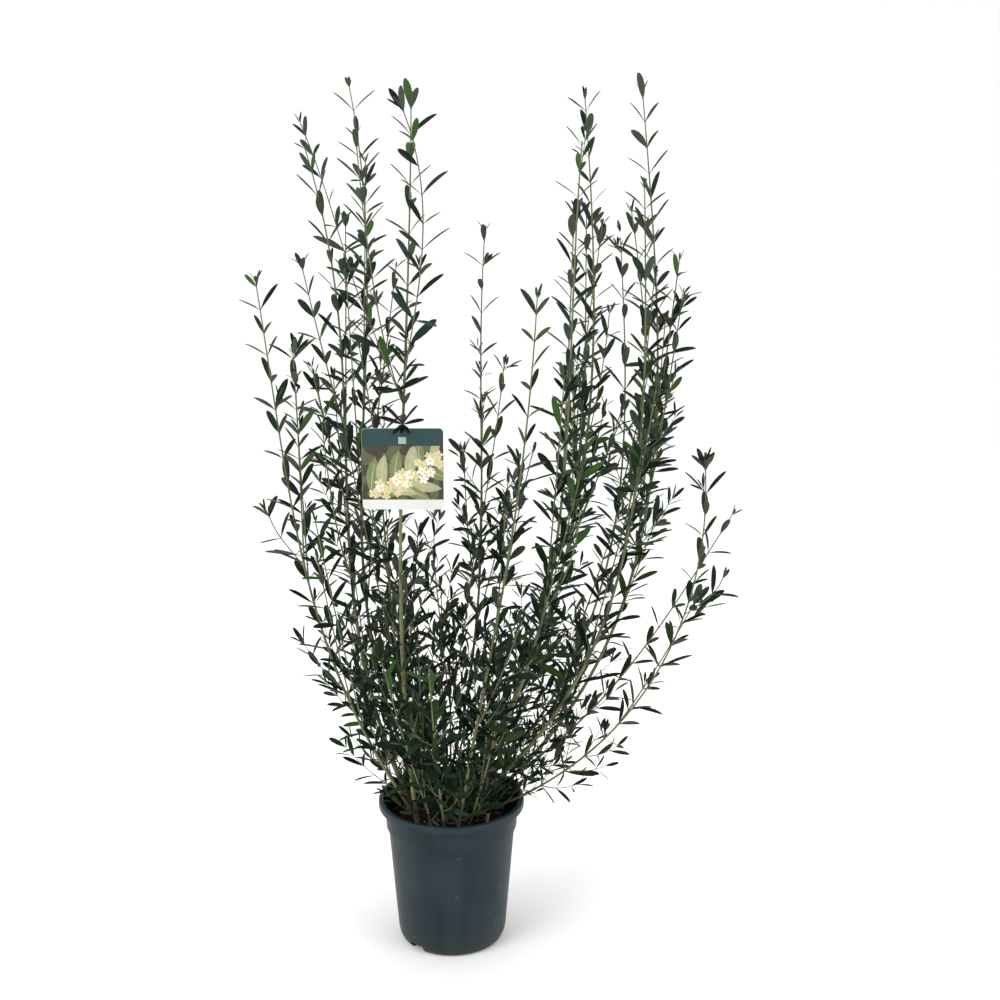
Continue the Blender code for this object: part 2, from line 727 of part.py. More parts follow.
def build_card(stem, card_y):
    """A plumb card with rounded corners and two slots for the strap."""
    middle_z = LABEL_TOP - LABEL_HEIGHT / 2
    bm = bmesh.new()
    outline = rounded_outline(LABEL_WIDTH, LABEL_HEIGHT, LABEL_CORNER)
    face = bm.faces.new([bm.verts.new((stem.x + x, card_y, middle_z + z)) for x, z in outline])
    grown = bmesh.ops.extrude_face_region(bm, geom=[face])
    moved = [item for item in grown["geom"] if isinstance(item, bmesh.types.BMVert)]
    bmesh.ops.translate(bm, vec=(0, LABEL_THICKNESS, 0), verts=moved)
    card = add_object("label_card", mesh_from("label_card", bm), "card")
    cutters = []
    for name, side in (("slot_left", -1), ("slot_right", 1)):
        place = Matrix.Translation((stem.x + side * STRAP_SPAN / 2, card_y, STRAP_LEVEL))
        size = Vector((SLOT_WIDTH, 12 * LABEL_THICKNESS, STRAP_WIDTH + 2 * SLOT_MARGIN))
        cutters.append(box_cutter(name, size, place))
    subtract(card, cutters)
    return card


def build_strap(stem, front_y, back_y):
    """A flat band in a loop: behind the stem, through both slots and across the card's front."""
    middle_y = (front_y + back_y) / 2
    depth = back_y - front_y
    half = STRAP_THICKNESS / 2
    bm = bmesh.new()
    rings = []
    for swell, level in ((half, -1), (half, 1), (-half, 1), (-half, -1)):
        height = STRAP_LEVEL + level * STRAP_WIDTH / 2
        outline = rounded_outline(STRAP_SPAN + 2 * swell, depth + 2 * swell,
                                  STRAP_CORNER + swell, 3)
        rings.append([bm.verts.new((stem.x + x, middle_y + y, height)) for x, y in outline])
    for index, ring in enumerate(rings):
        after = rings[(index + 1) % len(rings)]
        for corner in range(len(ring)):
            beside = (corner + 1) % len(ring)
            bm.faces.new((ring[corner], ring[beside], after[beside], after[corner]))
    strap = add_object("label_strap", mesh_from("label_strap", bm), "strap")
    shade_round(strap, radians(50))
    return strap


def build_label(stem, stem_radius):
    """The card hangs on the front of the stem by its strap. Returns the room they take."""
    card_y = stem.y - stem_radius - 2 * GAP - LABEL_THICKNESS
    front_y = card_y - GAP - STRAP_THICKNESS / 2
    back_y = stem.y + stem_radius + GAP + STRAP_SLACK + STRAP_THICKNESS / 2
    build_card(stem, card_y)
    build_strap(stem, front_y, back_y)
    lower = Vector((stem.x - LABEL_WIDTH / 2, front_y - STRAP_THICKNESS, LABEL_TOP - LABEL_HEIGHT))
    upper = Vector((stem.x + LABEL_WIDTH / 2, back_y + STRAP_THICKNESS, LABEL_TOP))
    return lower, upper


class Limb:
    """A leafy stem: its path, its radius where the path starts, and the stops of its pairs."""

    def __init__(self, path, girth, start, first, spacing):
        self.path = path
        self.girth = girth
        self.start = start
        self.stops = leafy_stops(path, start + first, spacing)

    def mesh(self, shrub, order):
        stops = [self.start] + self.stops + [self.path.length]
        stations = stations_at(shrub, self.path, self.girth, stops, TWIG_FULLNESS)
        if order == 0:
            return limb_mesh("stem", stations, TWIG_SIDES)
        return branch_mesh("fork", stations, order)


def add_wand(shrub, wand, path, spacing):
    """Takes up a wand's bough and stem, before any foliage is grown."""
    bough = "bough_" + wand.name
    shrub.take_path(bough, path, wand.girth * FLARE, 0.0, FLARE_LENGTH)
    shrub.take_path(bough, path, wand.girth, FLARE_LENGTH, wand.bare)
    limb = Limb(path, wand.girth, wand.bare + GAP, FIRST_LEAVES, spacing)
    shrub.take_path(wand.name, path, wand.girth, limb.start + 2 * NEAR, path.length)
    return limb


def add_fork(shrub, fork, limb):
    """A fork leaves its wand at the leaf joint that is nearest its share of the length."""
    begin = min(limb.stops, key=lambda stop: abs(stop - fork.share * limb.path.length))
    girth = shrub.radius_at(limb.girth, limb.path, begin) * FORK_GIRTH
    handles = fork_handles(limb.path.at(begin), limb.path.direction(begin), fork)
    branch = Limb(Path(handles), girth, 0.0, FORK_BARE, LEAF_SPACING)
    shrub.take_path(fork.wand, branch.path, girth, 0.0, branch.path.length)
    return branch


def build_all():
    clear_scene()
    build_pot()
    build_soil()
    shrub = Shrub()
    wands = {wand.name: wand for wand in WANDS}
    paths = {name: Path(wand_handles(wand)) for name, wand in wands.items()}
    distance, stem = strap_place(paths["front"])
    stem_radius = shrub.radius_at(wands["front"].girth, paths["front"], distance)
    shrub.label_box = build_label(stem, stem_radius)

    limbs = {}
    for name, wand in wands.items():
        limbs[name] = [add_wand(shrub, wand, paths[name], LEAF_SPACING)]
    for fork in FORKS:
        limbs[fork.wand].append(add_fork(shrub, fork, limbs[fork.wand][0]))
    for index in range(LOW_SHOOTS):
        wand, path = low_wand(shrub, index)
        wands[wand.name] = wand
        limbs[wand.name] = [add_wand(shrub, wand, path, LOW_SPACING)]

    for name, wand in wands.items():
        build_bough(shrub, wand, limbs[name][0].path)
        stems = [limb.mesh(shrub, order) for order, limb in enumerate(limbs[name])]
        parts = stems[1:]
        for limb in limbs[name]:
            roll = shrub.random.uniform(0, pi)
            joints = grow_leaves(shrub, name, limb.path, limb.girth, limb.stops, parts, roll)
            grow_shoots(shrub, name, limb.path, joints, parts)
        build_mass(wand, stems[0], parts)


build_all()
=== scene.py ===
# %% [markdown]
# A potted phillyrea: a bushel of slender wands with small leathery leaves, in a nursery pot.
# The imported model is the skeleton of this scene. It gives the pot, the soil, the label and
# one plain solid for each bough and each leafy part. This script keeps every size and place
# and gives each of them its real surface: thin leaves in their thousands, round stems with
# joints and bark, a moulded pot, crumbly soil and a printed card.

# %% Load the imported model
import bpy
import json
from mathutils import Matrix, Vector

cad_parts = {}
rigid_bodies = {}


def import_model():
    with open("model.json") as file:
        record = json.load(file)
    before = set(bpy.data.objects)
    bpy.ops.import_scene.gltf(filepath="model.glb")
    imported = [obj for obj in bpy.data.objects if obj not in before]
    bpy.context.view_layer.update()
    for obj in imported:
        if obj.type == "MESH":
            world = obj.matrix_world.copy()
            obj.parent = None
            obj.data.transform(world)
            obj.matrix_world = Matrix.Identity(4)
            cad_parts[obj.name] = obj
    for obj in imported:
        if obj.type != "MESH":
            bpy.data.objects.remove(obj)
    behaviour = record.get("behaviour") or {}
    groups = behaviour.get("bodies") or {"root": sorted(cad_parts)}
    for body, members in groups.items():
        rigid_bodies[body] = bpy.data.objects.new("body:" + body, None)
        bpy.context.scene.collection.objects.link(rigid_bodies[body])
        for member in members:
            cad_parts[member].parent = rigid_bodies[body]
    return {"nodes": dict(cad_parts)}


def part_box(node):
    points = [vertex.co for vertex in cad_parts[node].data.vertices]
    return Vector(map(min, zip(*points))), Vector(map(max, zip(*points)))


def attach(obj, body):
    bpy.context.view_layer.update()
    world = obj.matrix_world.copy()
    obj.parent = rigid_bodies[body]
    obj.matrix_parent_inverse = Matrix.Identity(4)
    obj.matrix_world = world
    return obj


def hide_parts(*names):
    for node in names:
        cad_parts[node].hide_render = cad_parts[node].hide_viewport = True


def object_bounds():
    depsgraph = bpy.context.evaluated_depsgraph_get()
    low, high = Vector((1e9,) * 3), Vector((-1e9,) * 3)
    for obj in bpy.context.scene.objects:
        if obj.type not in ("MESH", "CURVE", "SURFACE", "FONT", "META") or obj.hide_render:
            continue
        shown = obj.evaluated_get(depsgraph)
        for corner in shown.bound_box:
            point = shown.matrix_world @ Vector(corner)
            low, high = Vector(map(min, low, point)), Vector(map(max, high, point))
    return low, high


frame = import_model()
cad_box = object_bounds()
print("solids in the frame:", len(frame["nodes"]))

# %% Blender's modules and Python's own
import json
from collections import namedtuple
from math import cos, pi, radians, sin, sqrt, tau
from random import Random

import bmesh
import bpy
import numpy as np
from mathutils import Matrix, Vector, noise

# %% [markdown]
# Many steps below build node trees, for shapes and for finishes alike. Small helpers keep
# those steps short. One adds a node and feeds its sockets, from another node's output or with
# a plain value. One runs a Geometry Nodes tree on a mesh and returns the plain mesh that comes
# out, so that nothing live is left in the finished scene. The others finish a mesh that is
# built point by point, and make a mesh a piece of the plant.

# %% Helpers for node trees and meshes
def add(tree, kind, feeds=None, **settings):
    """Adds a node to a tree. Settings are its own options, feeds go into its sockets."""
    node = tree.nodes.new(kind)
    for option, value in settings.items():
        setattr(node, option, value)
    for socket, value in (feeds or {}).items():
        if isinstance(value, bpy.types.NodeSocket):
            tree.links.new(value, node.inputs[socket])
        else:
            node.inputs[socket].default_value = value
    return node


def new_tree(name, sizes):
    """A Geometry Nodes tree with a geometry socket each way and a named input for each size."""
    tree = bpy.data.node_groups.new(name, "GeometryNodeTree")
    tree.interface.new_socket("Geometry", in_out="INPUT", socket_type="NodeSocketGeometry")
    for label, kind in sizes.items():
        tree.interface.new_socket(label, in_out="INPUT", socket_type="NodeSocket" + kind)
    tree.interface.new_socket("Geometry", in_out="OUTPUT", socket_type="NodeSocketGeometry")
    return tree, tree.nodes.new("NodeGroupInput").outputs


def run_tree(tree, name, source, values):
    """Runs a tree on a mesh and returns the plain mesh that it makes."""
    host = bpy.data.objects.new(name, source)
    bpy.context.scene.collection.objects.link(host)
    modifier = host.modifiers.new(name, "NODES")
    modifier.node_group = tree
    for item in tree.interface.items_tree:
        if item.item_type == "SOCKET" and item.in_out == "INPUT" and item.name in values:
            modifier[item.identifier] = values[item.name]
    seen = host.evaluated_get(bpy.context.evaluated_depsgraph_get())
    made = bpy.data.meshes.new_from_object(seen)
    bpy.data.objects.remove(host)
    made.name = name
    return made


def finished(bm, name):
    """The plain mesh of a bmesh, which is then freed."""
    mesh = bpy.data.meshes.new(name)
    bm.to_mesh(mesh)
    bm.free()
    return mesh


def join_rings(bm, before, after):
    """Faces between two rings of points. A ring of one point is a tip or a pole."""
    faces = []
    for corner in range(max(len(before), len(after))):
        beside = corner + 1
        border = []
        for ring, pick in ((before, corner), (before, beside), (after, beside), (after, corner)):
            vert = ring[pick % len(ring)]
            if vert not in border:
                border.append(vert)
        faces.append(bm.faces.new(border))
    return faces


def place(mesh, name, nodes=()):
    """Makes a finished mesh a piece of the plant, on its one body. It may replace nodes."""
    piece = bpy.data.objects.new(name, mesh)
    bpy.context.scene.collection.objects.link(piece)
    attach(piece, "root")
    if nodes:
        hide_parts(*nodes)
    mesh.calc_loop_triangles()
    print(name, len(mesh.loop_triangles), "triangles")
    return piece


# %% [markdown]
# The camera comes early, because it decides what the picture must show. The pot's rim is an
# ellipse in the photograph. How round it is gives the angle that the camera looks down at, and
# how much the pot narrows gives the distance. The lens then follows from the plant's height in
# the picture.

# %% The camera
CAMERA_DISTANCE = 2.70
CAMERA_HEIGHT = 1.540
CAMERA_ASIDE = 0.077
CAMERA_DOWN = 16.69               # degrees under the horizon
CAMERA_LENS = 67.2                # millimetres, on a 36 mm sensor

lens = bpy.data.cameras.new("camera")
lens.lens = CAMERA_LENS
lens.sensor_width = 36.0
camera = bpy.data.objects.new("camera", lens)
camera.location = (CAMERA_ASIDE, -CAMERA_DISTANCE, CAMERA_HEIGHT)
camera.rotation_euler = (radians(90 - CAMERA_DOWN), 0, 0)
bpy.context.scene.collection.objects.link(camera)
bpy.context.scene.camera = camera
print("camera at", tuple(round(value, 3) for value in camera.location))

# %% [markdown]
# The floor is a pale sweep: flat under the pot, then bent up behind it in one smooth curve, as
# photographers hang a paper roll, so that no line shows where the floor ends. The light is that
# of a product picture: a white room all round, a large soft lamp from the upper left, a weaker
# one from the right, and one overhead. Blender's usual view softens bright and dark tones. The
# Standard view leaves them as they are, so the paper stays white and the leaves stay dark, as
# in a catalogue picture.

# %% The paper sweep
SWEEP_WIDTH = 14.0
SWEEP_FRONT = -7.0
SWEEP_BEND_START = 3.0
SWEEP_RADIUS = 2.0
SWEEP_HEIGHT = 7.0


def paper_sweep():
    line = [(SWEEP_FRONT, 0.0), (SWEEP_BEND_START, 0.0)]
    for step in range(1, 13):
        turn = pi / 2 * step / 12
        line.append((SWEEP_BEND_START + SWEEP_RADIUS * sin(turn), SWEEP_RADIUS * (1 - cos(turn))))
    line.append((SWEEP_BEND_START + SWEEP_RADIUS, SWEEP_HEIGHT))
    bm = bmesh.new()
    rows = []
    for side in (-SWEEP_WIDTH / 2, SWEEP_WIDTH / 2):
        rows.append([bm.verts.new((side, depth, height)) for depth, height in line])
    for index in range(len(line) - 1):
        corners = (rows[0][index], rows[1][index], rows[1][index + 1], rows[0][index + 1])
        bm.faces.new(corners).smooth = True
    return finished(bm, "paper_sweep")


paper = bpy.data.materials.new("paper")
paper.use_nodes = True
paper_shader = paper.node_tree.nodes["Principled BSDF"]
paper_shader.inputs["Base Color"].default_value = (0.90, 0.90, 0.89, 1)
paper_shader.inputs["Roughness"].default_value = 0.9
sweep_mesh = paper_sweep()
sweep_mesh.materials.append(paper)
sweep = bpy.data.objects.new("paper_sweep", sweep_mesh)
bpy.context.scene.collection.objects.link(sweep)
print("paper sweep", len(sweep_mesh.polygons), "faces")

# %% The lamps and the white room
LAMPS = (
    # name, place, size, watts
    ("window_left", (-2.6, -2.4, 2.6), 2.2, 95.0),
    ("window_right", (2.8, -1.8, 1.8), 2.0, 45.0),
    ("overhead", (0.2, 0.2, 3.6), 2.4, 55.0),
)
PLANT_MIDDLE = Vector((0.08, 0.0, 0.6))
ROOM_LIGHT = 0.85

for name, spot, size, watts in LAMPS:
    lamp = bpy.data.lights.new(name, "AREA")
    lamp.shape = "SQUARE"
    lamp.size = size
    lamp.energy = watts
    holder = bpy.data.objects.new(name, lamp)
    holder.location = spot
    holder.rotation_euler = (PLANT_MIDDLE - Vector(spot)).to_track_quat("-Z", "Y").to_euler()
    bpy.context.scene.collection.objects.link(holder)
white_room = bpy.data.worlds.new("white_room")
white_room.use_nodes = True
walls = white_room.node_tree.nodes["Background"]
walls.inputs["Color"].default_value = (1.0, 1.0, 1.0, 1)
walls.inputs["Strength"].default_value = ROOM_LIGHT
bpy.context.scene.world = white_room
bpy.context.scene.view_settings.view_transform = "Standard"
print("lamps:", [name for name, spot, size, watts in LAMPS])

# %% [markdown]
# A finish is a small tree of nodes round one Principled shader. Real surfaces are never one
# flat colour, so a soft noise mixes two near colours, a finer one drives a faint bump, and the
# roughness wanders a little. All noise reads Object coordinates, in metres, so its size is real.

# %% A mottled finish
def mottled(name, colors, patch, grain, bump, rough, specular=0.5, stretch=(1, 1, 1)):
    """Two colours mixed in patches, with a fine bump. patch and grain are sizes in metres."""
    finish = bpy.data.materials.new(name)
    finish.use_nodes = True
    tree = finish.node_tree
    shader = tree.nodes["Principled BSDF"]
    spot = add(tree, "ShaderNodeTexCoord").outputs["Object"]
    spot = add(tree, "ShaderNodeMapping", {"Vector": spot, "Scale": stretch}).outputs[0]
    cloud = add(tree, "ShaderNodeTexNoise", {"Vector": spot, "Scale": 1 / patch, "Detail": 3.0})
    mixed = add(tree, "ShaderNodeMix", {"Factor": cloud.outputs["Fac"]}, data_type="RGBA")
    mixed.inputs["A"].default_value = (*colors[0], 1)
    mixed.inputs["B"].default_value = (*colors[1], 1)
    fine = add(tree, "ShaderNodeTexNoise", {"Vector": spot, "Scale": 1 / grain, "Detail": 2.0})
    relief = add(tree, "ShaderNodeBump", {"Height": fine.outputs["Fac"], "Strength": bump})
    relief.inputs["Distance"].default_value = grain / 4
    spread = add(tree, "ShaderNodeMapRange", {"Value": cloud.outputs["Fac"]})
    spread.inputs["To Min"].default_value = rough[0]
    spread.inputs["To Max"].default_value = rough[1]
    tree.links.new(mixed.outputs["Result"], shader.inputs["Base Color"])
    tree.links.new(relief.outputs["Normal"], shader.inputs["Normal"])
    tree.links.new(spread.outputs["Result"], shader.inputs["Roughness"])
    shader.inputs["Specular IOR Level"].default_value = specular
    return finish


# %% [markdown]
# The green of the shrub is dealt out leaf by leaf. Most leaves are a deep blue green, some are
# a little bluer or warmer, and the youngest, near the tips, are fresh green. Their undersides
# are paler and duller. A few dry leaves lie on the soil. Each tint is a material of its own,
# so it keeps its place.

# %% The plant's finishes
LEAF_COLORS = {
    "deep": ((0.005, 0.014, 0.006), (0.010, 0.024, 0.011)),
    "shade": ((0.003, 0.008, 0.004), (0.006, 0.014, 0.007)),
    "blue": ((0.007, 0.020, 0.013), (0.012, 0.032, 0.020)),
    "warm": ((0.013, 0.024, 0.005), (0.023, 0.040, 0.010)),
    "fresh": ((0.018, 0.050, 0.010), (0.034, 0.082, 0.018)),
    "dry": ((0.130, 0.085, 0.042), (0.260, 0.180, 0.092)),
}
LEAF_FINISHES = {tint: mottled("leaf_" + tint, colors, 0.016, 0.0012, 0.15, (0.42, 0.56), 0.07)
                 for tint, colors in LEAF_COLORS.items()}
UNDERSIDE = mottled("leaf_underside", ((0.038, 0.048, 0.033), (0.066, 0.078, 0.056)), 0.014,
                    0.0010, 0.20, (0.60, 0.75), 0.12)
WOOD = mottled("bark_wood", ((0.048, 0.041, 0.027), (0.130, 0.108, 0.074)), 0.010,
               0.0014, 0.55, (0.65, 0.85), 0.2, (1, 1, 0.3))
OLIVE_BARK = mottled("bark_olive", ((0.100, 0.104, 0.050), (0.215, 0.215, 0.108)), 0.012,
                     0.0012, 0.35, (0.50, 0.70), 0.2, (1, 1, 0.3))
GREEN_STEM = mottled("stem_green", ((0.074, 0.084, 0.040), (0.150, 0.160, 0.080)), 0.012,
                     0.0010, 0.20, (0.42, 0.58), 0.2, (1, 1, 0.3))
CUT_WOOD = mottled("cut_wood", ((0.170, 0.125, 0.075), (0.320, 0.250, 0.165)), 0.006,
                   0.0010, 0.45, (0.70, 0.90), 0.2, (1, 1, 0.3))
print("finishes:", [finish.name for finish in bpy.data.materials])

# %% [markdown]
# Every wand is a smooth curve from its foot on the soil to its tip, and some wands fork. These
# are the same feet, tips and leans as those of the solids, in metres and degrees, so what grows
# here stays in the solids' reach. Low shoots fill the foot of the shrub: each stands a golden
# turn on from the last, which is how plants themselves spread shoots round a stem.

# %% The wands and their forks
Wand = namedtuple("Wand", "name foot tip lean_foot lean_tip girth bare")
Fork = namedtuple("Fork", "wand share tip lean_tip")

# foot: X, Y on the soil; tip: X, Y, Z that the top leaves reach; girth: radius at the foot;
# bare: length of the bough.
WANDS = (
    Wand("left_arch", (-0.050, -0.036), (-0.264, -0.140, 1.112), -30, -7, 0.0036, 0.13),
    Wand("left_tall", (-0.060, 0.012), (-0.219, 0.100, 1.268), -26, -16, 0.0052, 0.26),
    Wand("back_left", (-0.045, 0.045), (-0.151, 0.130, 1.356), -26, -10, 0.0046, 0.20),
    Wand("inner_left", (-0.040, 0.008), (-0.136, 0.020, 0.984), -14, -10, 0.0040, 0.22),
    Wand("front", (-0.051, -0.060), (-0.044, -0.105, 1.350), -6, 1, 0.0056, 0.668),
    Wand("back_middle", (-0.012, 0.062), (0.055, 0.240, 1.126), 16, 4, 0.0040, 0.20),
    Wand("front_middle", (0.012, -0.062), (0.128, -0.240, 1.108), 8, 3, 0.0040, 0.18),
    Wand("right_front", (-0.010, -0.035), (0.188, -0.200, 1.320), 32, 4, 0.0050, 0.28),
    Wand("right_back", (0.008, 0.036), (0.200, 0.100, 1.341), 32, -5, 0.0054, 0.30),
    Wand("back_right", (0.010, 0.070), (0.213, 0.240, 1.157), 38, 0, 0.0040, 0.20),
    Wand("right_inner", (0.008, -0.004), (0.278, -0.080, 1.233), 50, -2, 0.0046, 0.24),
    Wand("right_tall", (0.042, 0.012), (0.281, 0.060, 1.354), 50, -6, 0.0048, 0.26),
    Wand("right_low", (0.027, -0.021), (0.376, -0.060, 0.829), 70, -5, 0.0030, 0.12),
    Wand("right_outer", (0.031, 0.030), (0.457, 0.120, 0.692), 63, 30, 0.0030, 0.14),
    Wand("right_rear", (0.028, 0.052), (0.262, 0.200, 1.131), 50, -4, 0.0038, 0.18),
)

# share: of the wand's length, where the fork leaves it.
FORKS = (
    Fork("left_arch", 0.48, (-0.272, -0.060, 0.752), -14),
    Fork("left_tall", 0.36, (-0.195, 0.050, 0.860), -4),
    Fork("back_left", 0.70, (-0.238, 0.200, 1.296), -22),
    Fork("inner_left", 0.55, (-0.100, 0.100, 0.860), 4),
    Fork("front", 0.615, (-0.126, -0.060, 1.302), -4),
    Fork("front", 0.625, (-0.061, -0.220, 1.356), -22),
    Fork("front", 0.640, (-0.114, -0.170, 1.069), -20),
    Fork("back_middle", 0.52, (0.086, 0.140, 0.932), 6),
    Fork("back_middle", 0.40, (0.016, 0.190, 0.780), -4),
    Fork("front_middle", 0.45, (0.129, -0.150, 0.868), 14),
    Fork("right_front", 0.34, (0.190, -0.200, 0.800), 2),
    Fork("right_back", 0.50, (0.235, 0.140, 1.150), 6),
    Fork("back_right", 0.55, (0.248, 0.150, 1.012), 4),
    Fork("right_inner", 0.55, (0.300, -0.140, 0.960), 8),
    Fork("right_tall", 0.62, (0.262, -0.010, 1.190), -10),
    Fork("right_low", 0.62, (0.415, -0.090, 0.660), 20),
    Fork("right_rear", 0.50, (0.330, 0.190, 0.900), 14),
)

# %% Sizes of growth
SOIL_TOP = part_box("soil")[1].z
POT_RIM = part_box("pot")[1].z
POT_MOUTH = 0.0991                # inner radius of the pot at the soil
SEED = 41
GAP = 0.0003
HANDLE = 0.38
OUTWARD_FIRST = 0.55
OUTWARD_LAST = 0.97
TIP_RADIUS = 0.0012
TAPER = 1.0                       # 1 is an even taper
SLIM = 0.69                       # round stems are this much thinner than the plain solids
TOP_LEAVES = 0.025
FLARE = 1.35
FLARE_LENGTH = 0.012
NEAR = 0.002
TAKEN_STEP = 0.020
LEAF_SPACING = 0.115
LAST_LEAVES = 0.0025
FIRST_LEAVES = 0.020
TWIG_FULLNESS = 1.20
FORK_BARE = 0.055
FORK_ANGLE = radians(30)
FORK_HANDLE = 0.25
FORK_GIRTH = 0.8
LOW_SHOOTS = 11
LOW_HEADING = radians(20)
LOW_TURN = radians(137.5)
LOW_NUDGE = radians(6)
LOW_TRIES = 60
LOW_SLANT = 25.0
LOW_CLEAR = 0.006
LOW_FOOT_RADIUS = (0.030, 0.080)
LOW_LENGTH = (0.26, 0.42)
LOW_LEAN = (4.0, 22.0)
LOW_GIRTH = 0.0028
LOW_BARE = 0.030

# %% [markdown]
# A curve is drawn from two ends and two handles, and read by its real length: so many
# centimetres up the wand is one point, with one direction. The curve's start handle gives the
# lean at the soil and its end handle the lean of the tip.

# %% Curves that are read by length
def curve_point(handles, t):
    a, b, c, d = handles
    s = 1 - t
    return a * s**3 + b * (3 * s * s * t) + c * (3 * s * t * t) + d * t**3


def lean_vector(degrees):
    return Vector((sin(radians(degrees)), 0, cos(radians(degrees))))


def wand_handles(wand):
    foot = Vector((*wand.foot, SOIL_TOP + GAP))
    tip = Vector(wand.tip) - lean_vector(wand.lean_tip) * TOP_LEAVES
    chord = (tip - foot).length
    depth = tip.y - foot.y
    low = foot + lean_vector(wand.lean_foot) * (HANDLE * chord)
    high = tip - lean_vector(wand.lean_tip) * (HANDLE * chord)
    low.y = foot.y + OUTWARD_FIRST * depth
    high.y = foot.y + OUTWARD_LAST * depth
    return foot, low, high, tip


def fork_handles(start, direction, fork):
    tip = Vector(fork.tip) - lean_vector(fork.lean_tip) * TOP_LEAVES
    chord = (tip - start).length
    towards = tip - start
    outward = (towards - direction * towards.dot(direction)).normalized()
    leaving = direction * cos(FORK_ANGLE) + outward * sin(FORK_ANGLE)
    low = start + leaving * (FORK_HANDLE * chord)
    high = tip - lean_vector(fork.lean_tip) * (HANDLE * chord)
    return start, low, high, tip


class Path:
    """A smooth curve that can be read by length along it."""

    def __init__(self, handles, samples=64):
        self.handles = handles
        self.params = [step / samples for step in range(samples + 1)]
        points = [curve_point(handles, t) for t in self.params]
        self.reach = [0.0]
        for before, after in zip(points, points[1:]):
            self.reach.append(self.reach[-1] + (after - before).length)
        self.length = self.reach[-1]

    def at(self, distance):
        distance = min(max(distance, 0.0), self.length)
        return curve_point(self.handles, float(np.interp(distance, self.reach, self.params)))

    def direction(self, distance):
        ahead = self.at(min(distance + NEAR, self.length))
        behind = self.at(max(distance - NEAR, 0.0))
        return (ahead - behind).normalized()


def spaced(start, end, step):
    """Even stops from start to end, about a step apart, both ends included."""
    count = max(1, round((end - start) / step))
    return [start + (end - start) * index / count for index in range(count + 1)]


def side_of(direction, roll):
    """A unit vector square to the direction, turned round it by roll."""
    reference = Vector((0, 1, 0)) if abs(direction.y) < 0.9 else Vector((1, 0, 0))
    side = direction.cross(reference).normalized()
    return Matrix.Rotation(roll, 3, direction) @ side


def radius_at(girth, path, distance):
    left = max(1 - distance / path.length, 0.0)
    return SLIM * (TIP_RADIUS + (girth - TIP_RADIUS) * left ** TAPER)


# %% [markdown]
# A plant doesn't grow through itself. So each stem and leaf takes up its room as a line with a
# thickness, and the next one is measured against all the others before it may grow. The room
# is kept in plain arrays, because one sum over an array is far quicker than a loop.

# %% Room that is already taken
class Room:
    """Lines with a thickness and an owner, and the distance from a new one to the nearest."""

    def __init__(self, most=30000):
        self.starts = np.zeros((most, 3))
        self.ends = np.zeros((most, 3))
        self.radii = np.zeros(most)
        self.owners = np.zeros(most, int)
        self.names = {}
        self.count = 0

    def number(self, owner):
        return self.names.setdefault(owner, len(self.names))

    def take(self, owner, start, end, radius):
        self.starts[self.count] = start
        self.ends[self.count] = end
        self.radii[self.count] = radius
        self.owners[self.count] = self.number(owner)
        self.count += 1

    def nearest(self, owner, start, end, radius):
        others = self.owners[:self.count] != self.number(owner)
        if not others.any():
            return 1.0
        p = self.starts[:self.count][others]
        q = self.ends[:self.count][others]
        apart = line_distance(np.array(start), np.array(end), p, q)
        return float((apart - self.radii[:self.count][others]).min()) - radius

    def along(self, owner, path, girth):
        points = [path.at(stop) for stop in spaced(0.0, path.length, TAKEN_STEP)]
        return min(self.nearest(owner, low, high, girth) for low, high in zip(points, points[1:]))

    def take_path(self, owner, path, girth, start, end):
        stops = spaced(start, end, TAKEN_STEP)
        for low, high in zip(stops, stops[1:]):
            radius = radius_at(girth, path, low) * TWIG_FULLNESS
            self.take(owner, path.at(low), path.at(high), radius)


def line_distance(a, b, p, q):
    """The least distance from the stretch a-b to each stretch p-q."""
    u = b - a
    v = q - p
    w = a - p
    uu = u @ u
    uv = v @ u
    vv = np.einsum("ij,ij->i", v, v)
    uw = w @ u
    vw = np.einsum("ij,ij->i", v, w)
    flat = np.maximum(uu * vv - uv * uv, 1e-12)
    s = np.clip((uv * vw - vv * uw) / flat, 0, 1)
    t = np.clip((uv * s + vw) / np.maximum(vv, 1e-12), 0, 1)
    s = np.clip((uv * t - uw) / uu, 0, 1)
    apart = w + s[:, None] * u - t[:, None] * v
    return np.sqrt(np.einsum("ij,ij->i", apart, apart))


# %% [markdown]
# First the limbs: all wands, then their forks, then the low shoots, in the order in which the
# solids took their room, so that the low shoots find the same free places.

# %% All limbs of the shrub
Limb = namedtuple("Limb", "owner path girth start bare kind")


def low_wand(room, chance, index):
    """A low shoot stands a golden turn on from the last, and further on where it isn't clear."""
    heading = LOW_HEADING + LOW_TURN * index
    foot_radius = chance.uniform(*LOW_FOOT_RADIUS)
    length = chance.uniform(*LOW_LENGTH)
    lean = radians(chance.uniform(*LOW_LEAN))
    out = foot_radius + length * sin(lean)
    best = None
    for attempt in range(LOW_TRIES):
        turned = heading + LOW_NUDGE * attempt
        foot = (foot_radius * cos(turned), foot_radius * sin(turned))
        tip = (out * cos(turned), out * sin(turned), SOIL_TOP + length * cos(lean))
        slant = LOW_SLANT * cos(turned)
        wand = Wand(f"low_{index + 1}", foot, tip, slant, slant / 5, LOW_GIRTH, LOW_BARE)
        path = Path(wand_handles(wand))
        clear = room.along(wand.name, path, LOW_GIRTH)
        if best is None or clear > best[0]:
            best = (clear, wand, path)
        if clear > LOW_CLEAR:
            break
    return best[1], best[2]


def take_wand(room, wand, path):
    bough = "bough_" + wand.name
    room.take_path(bough, path, wand.girth * FLARE, 0.0, FLARE_LENGTH)
    room.take_path(bough, path, wand.girth, FLARE_LENGTH, wand.bare)
    room.take_path(wand.name, path, wand.girth, wand.bare + GAP + 2 * NEAR, path.length)


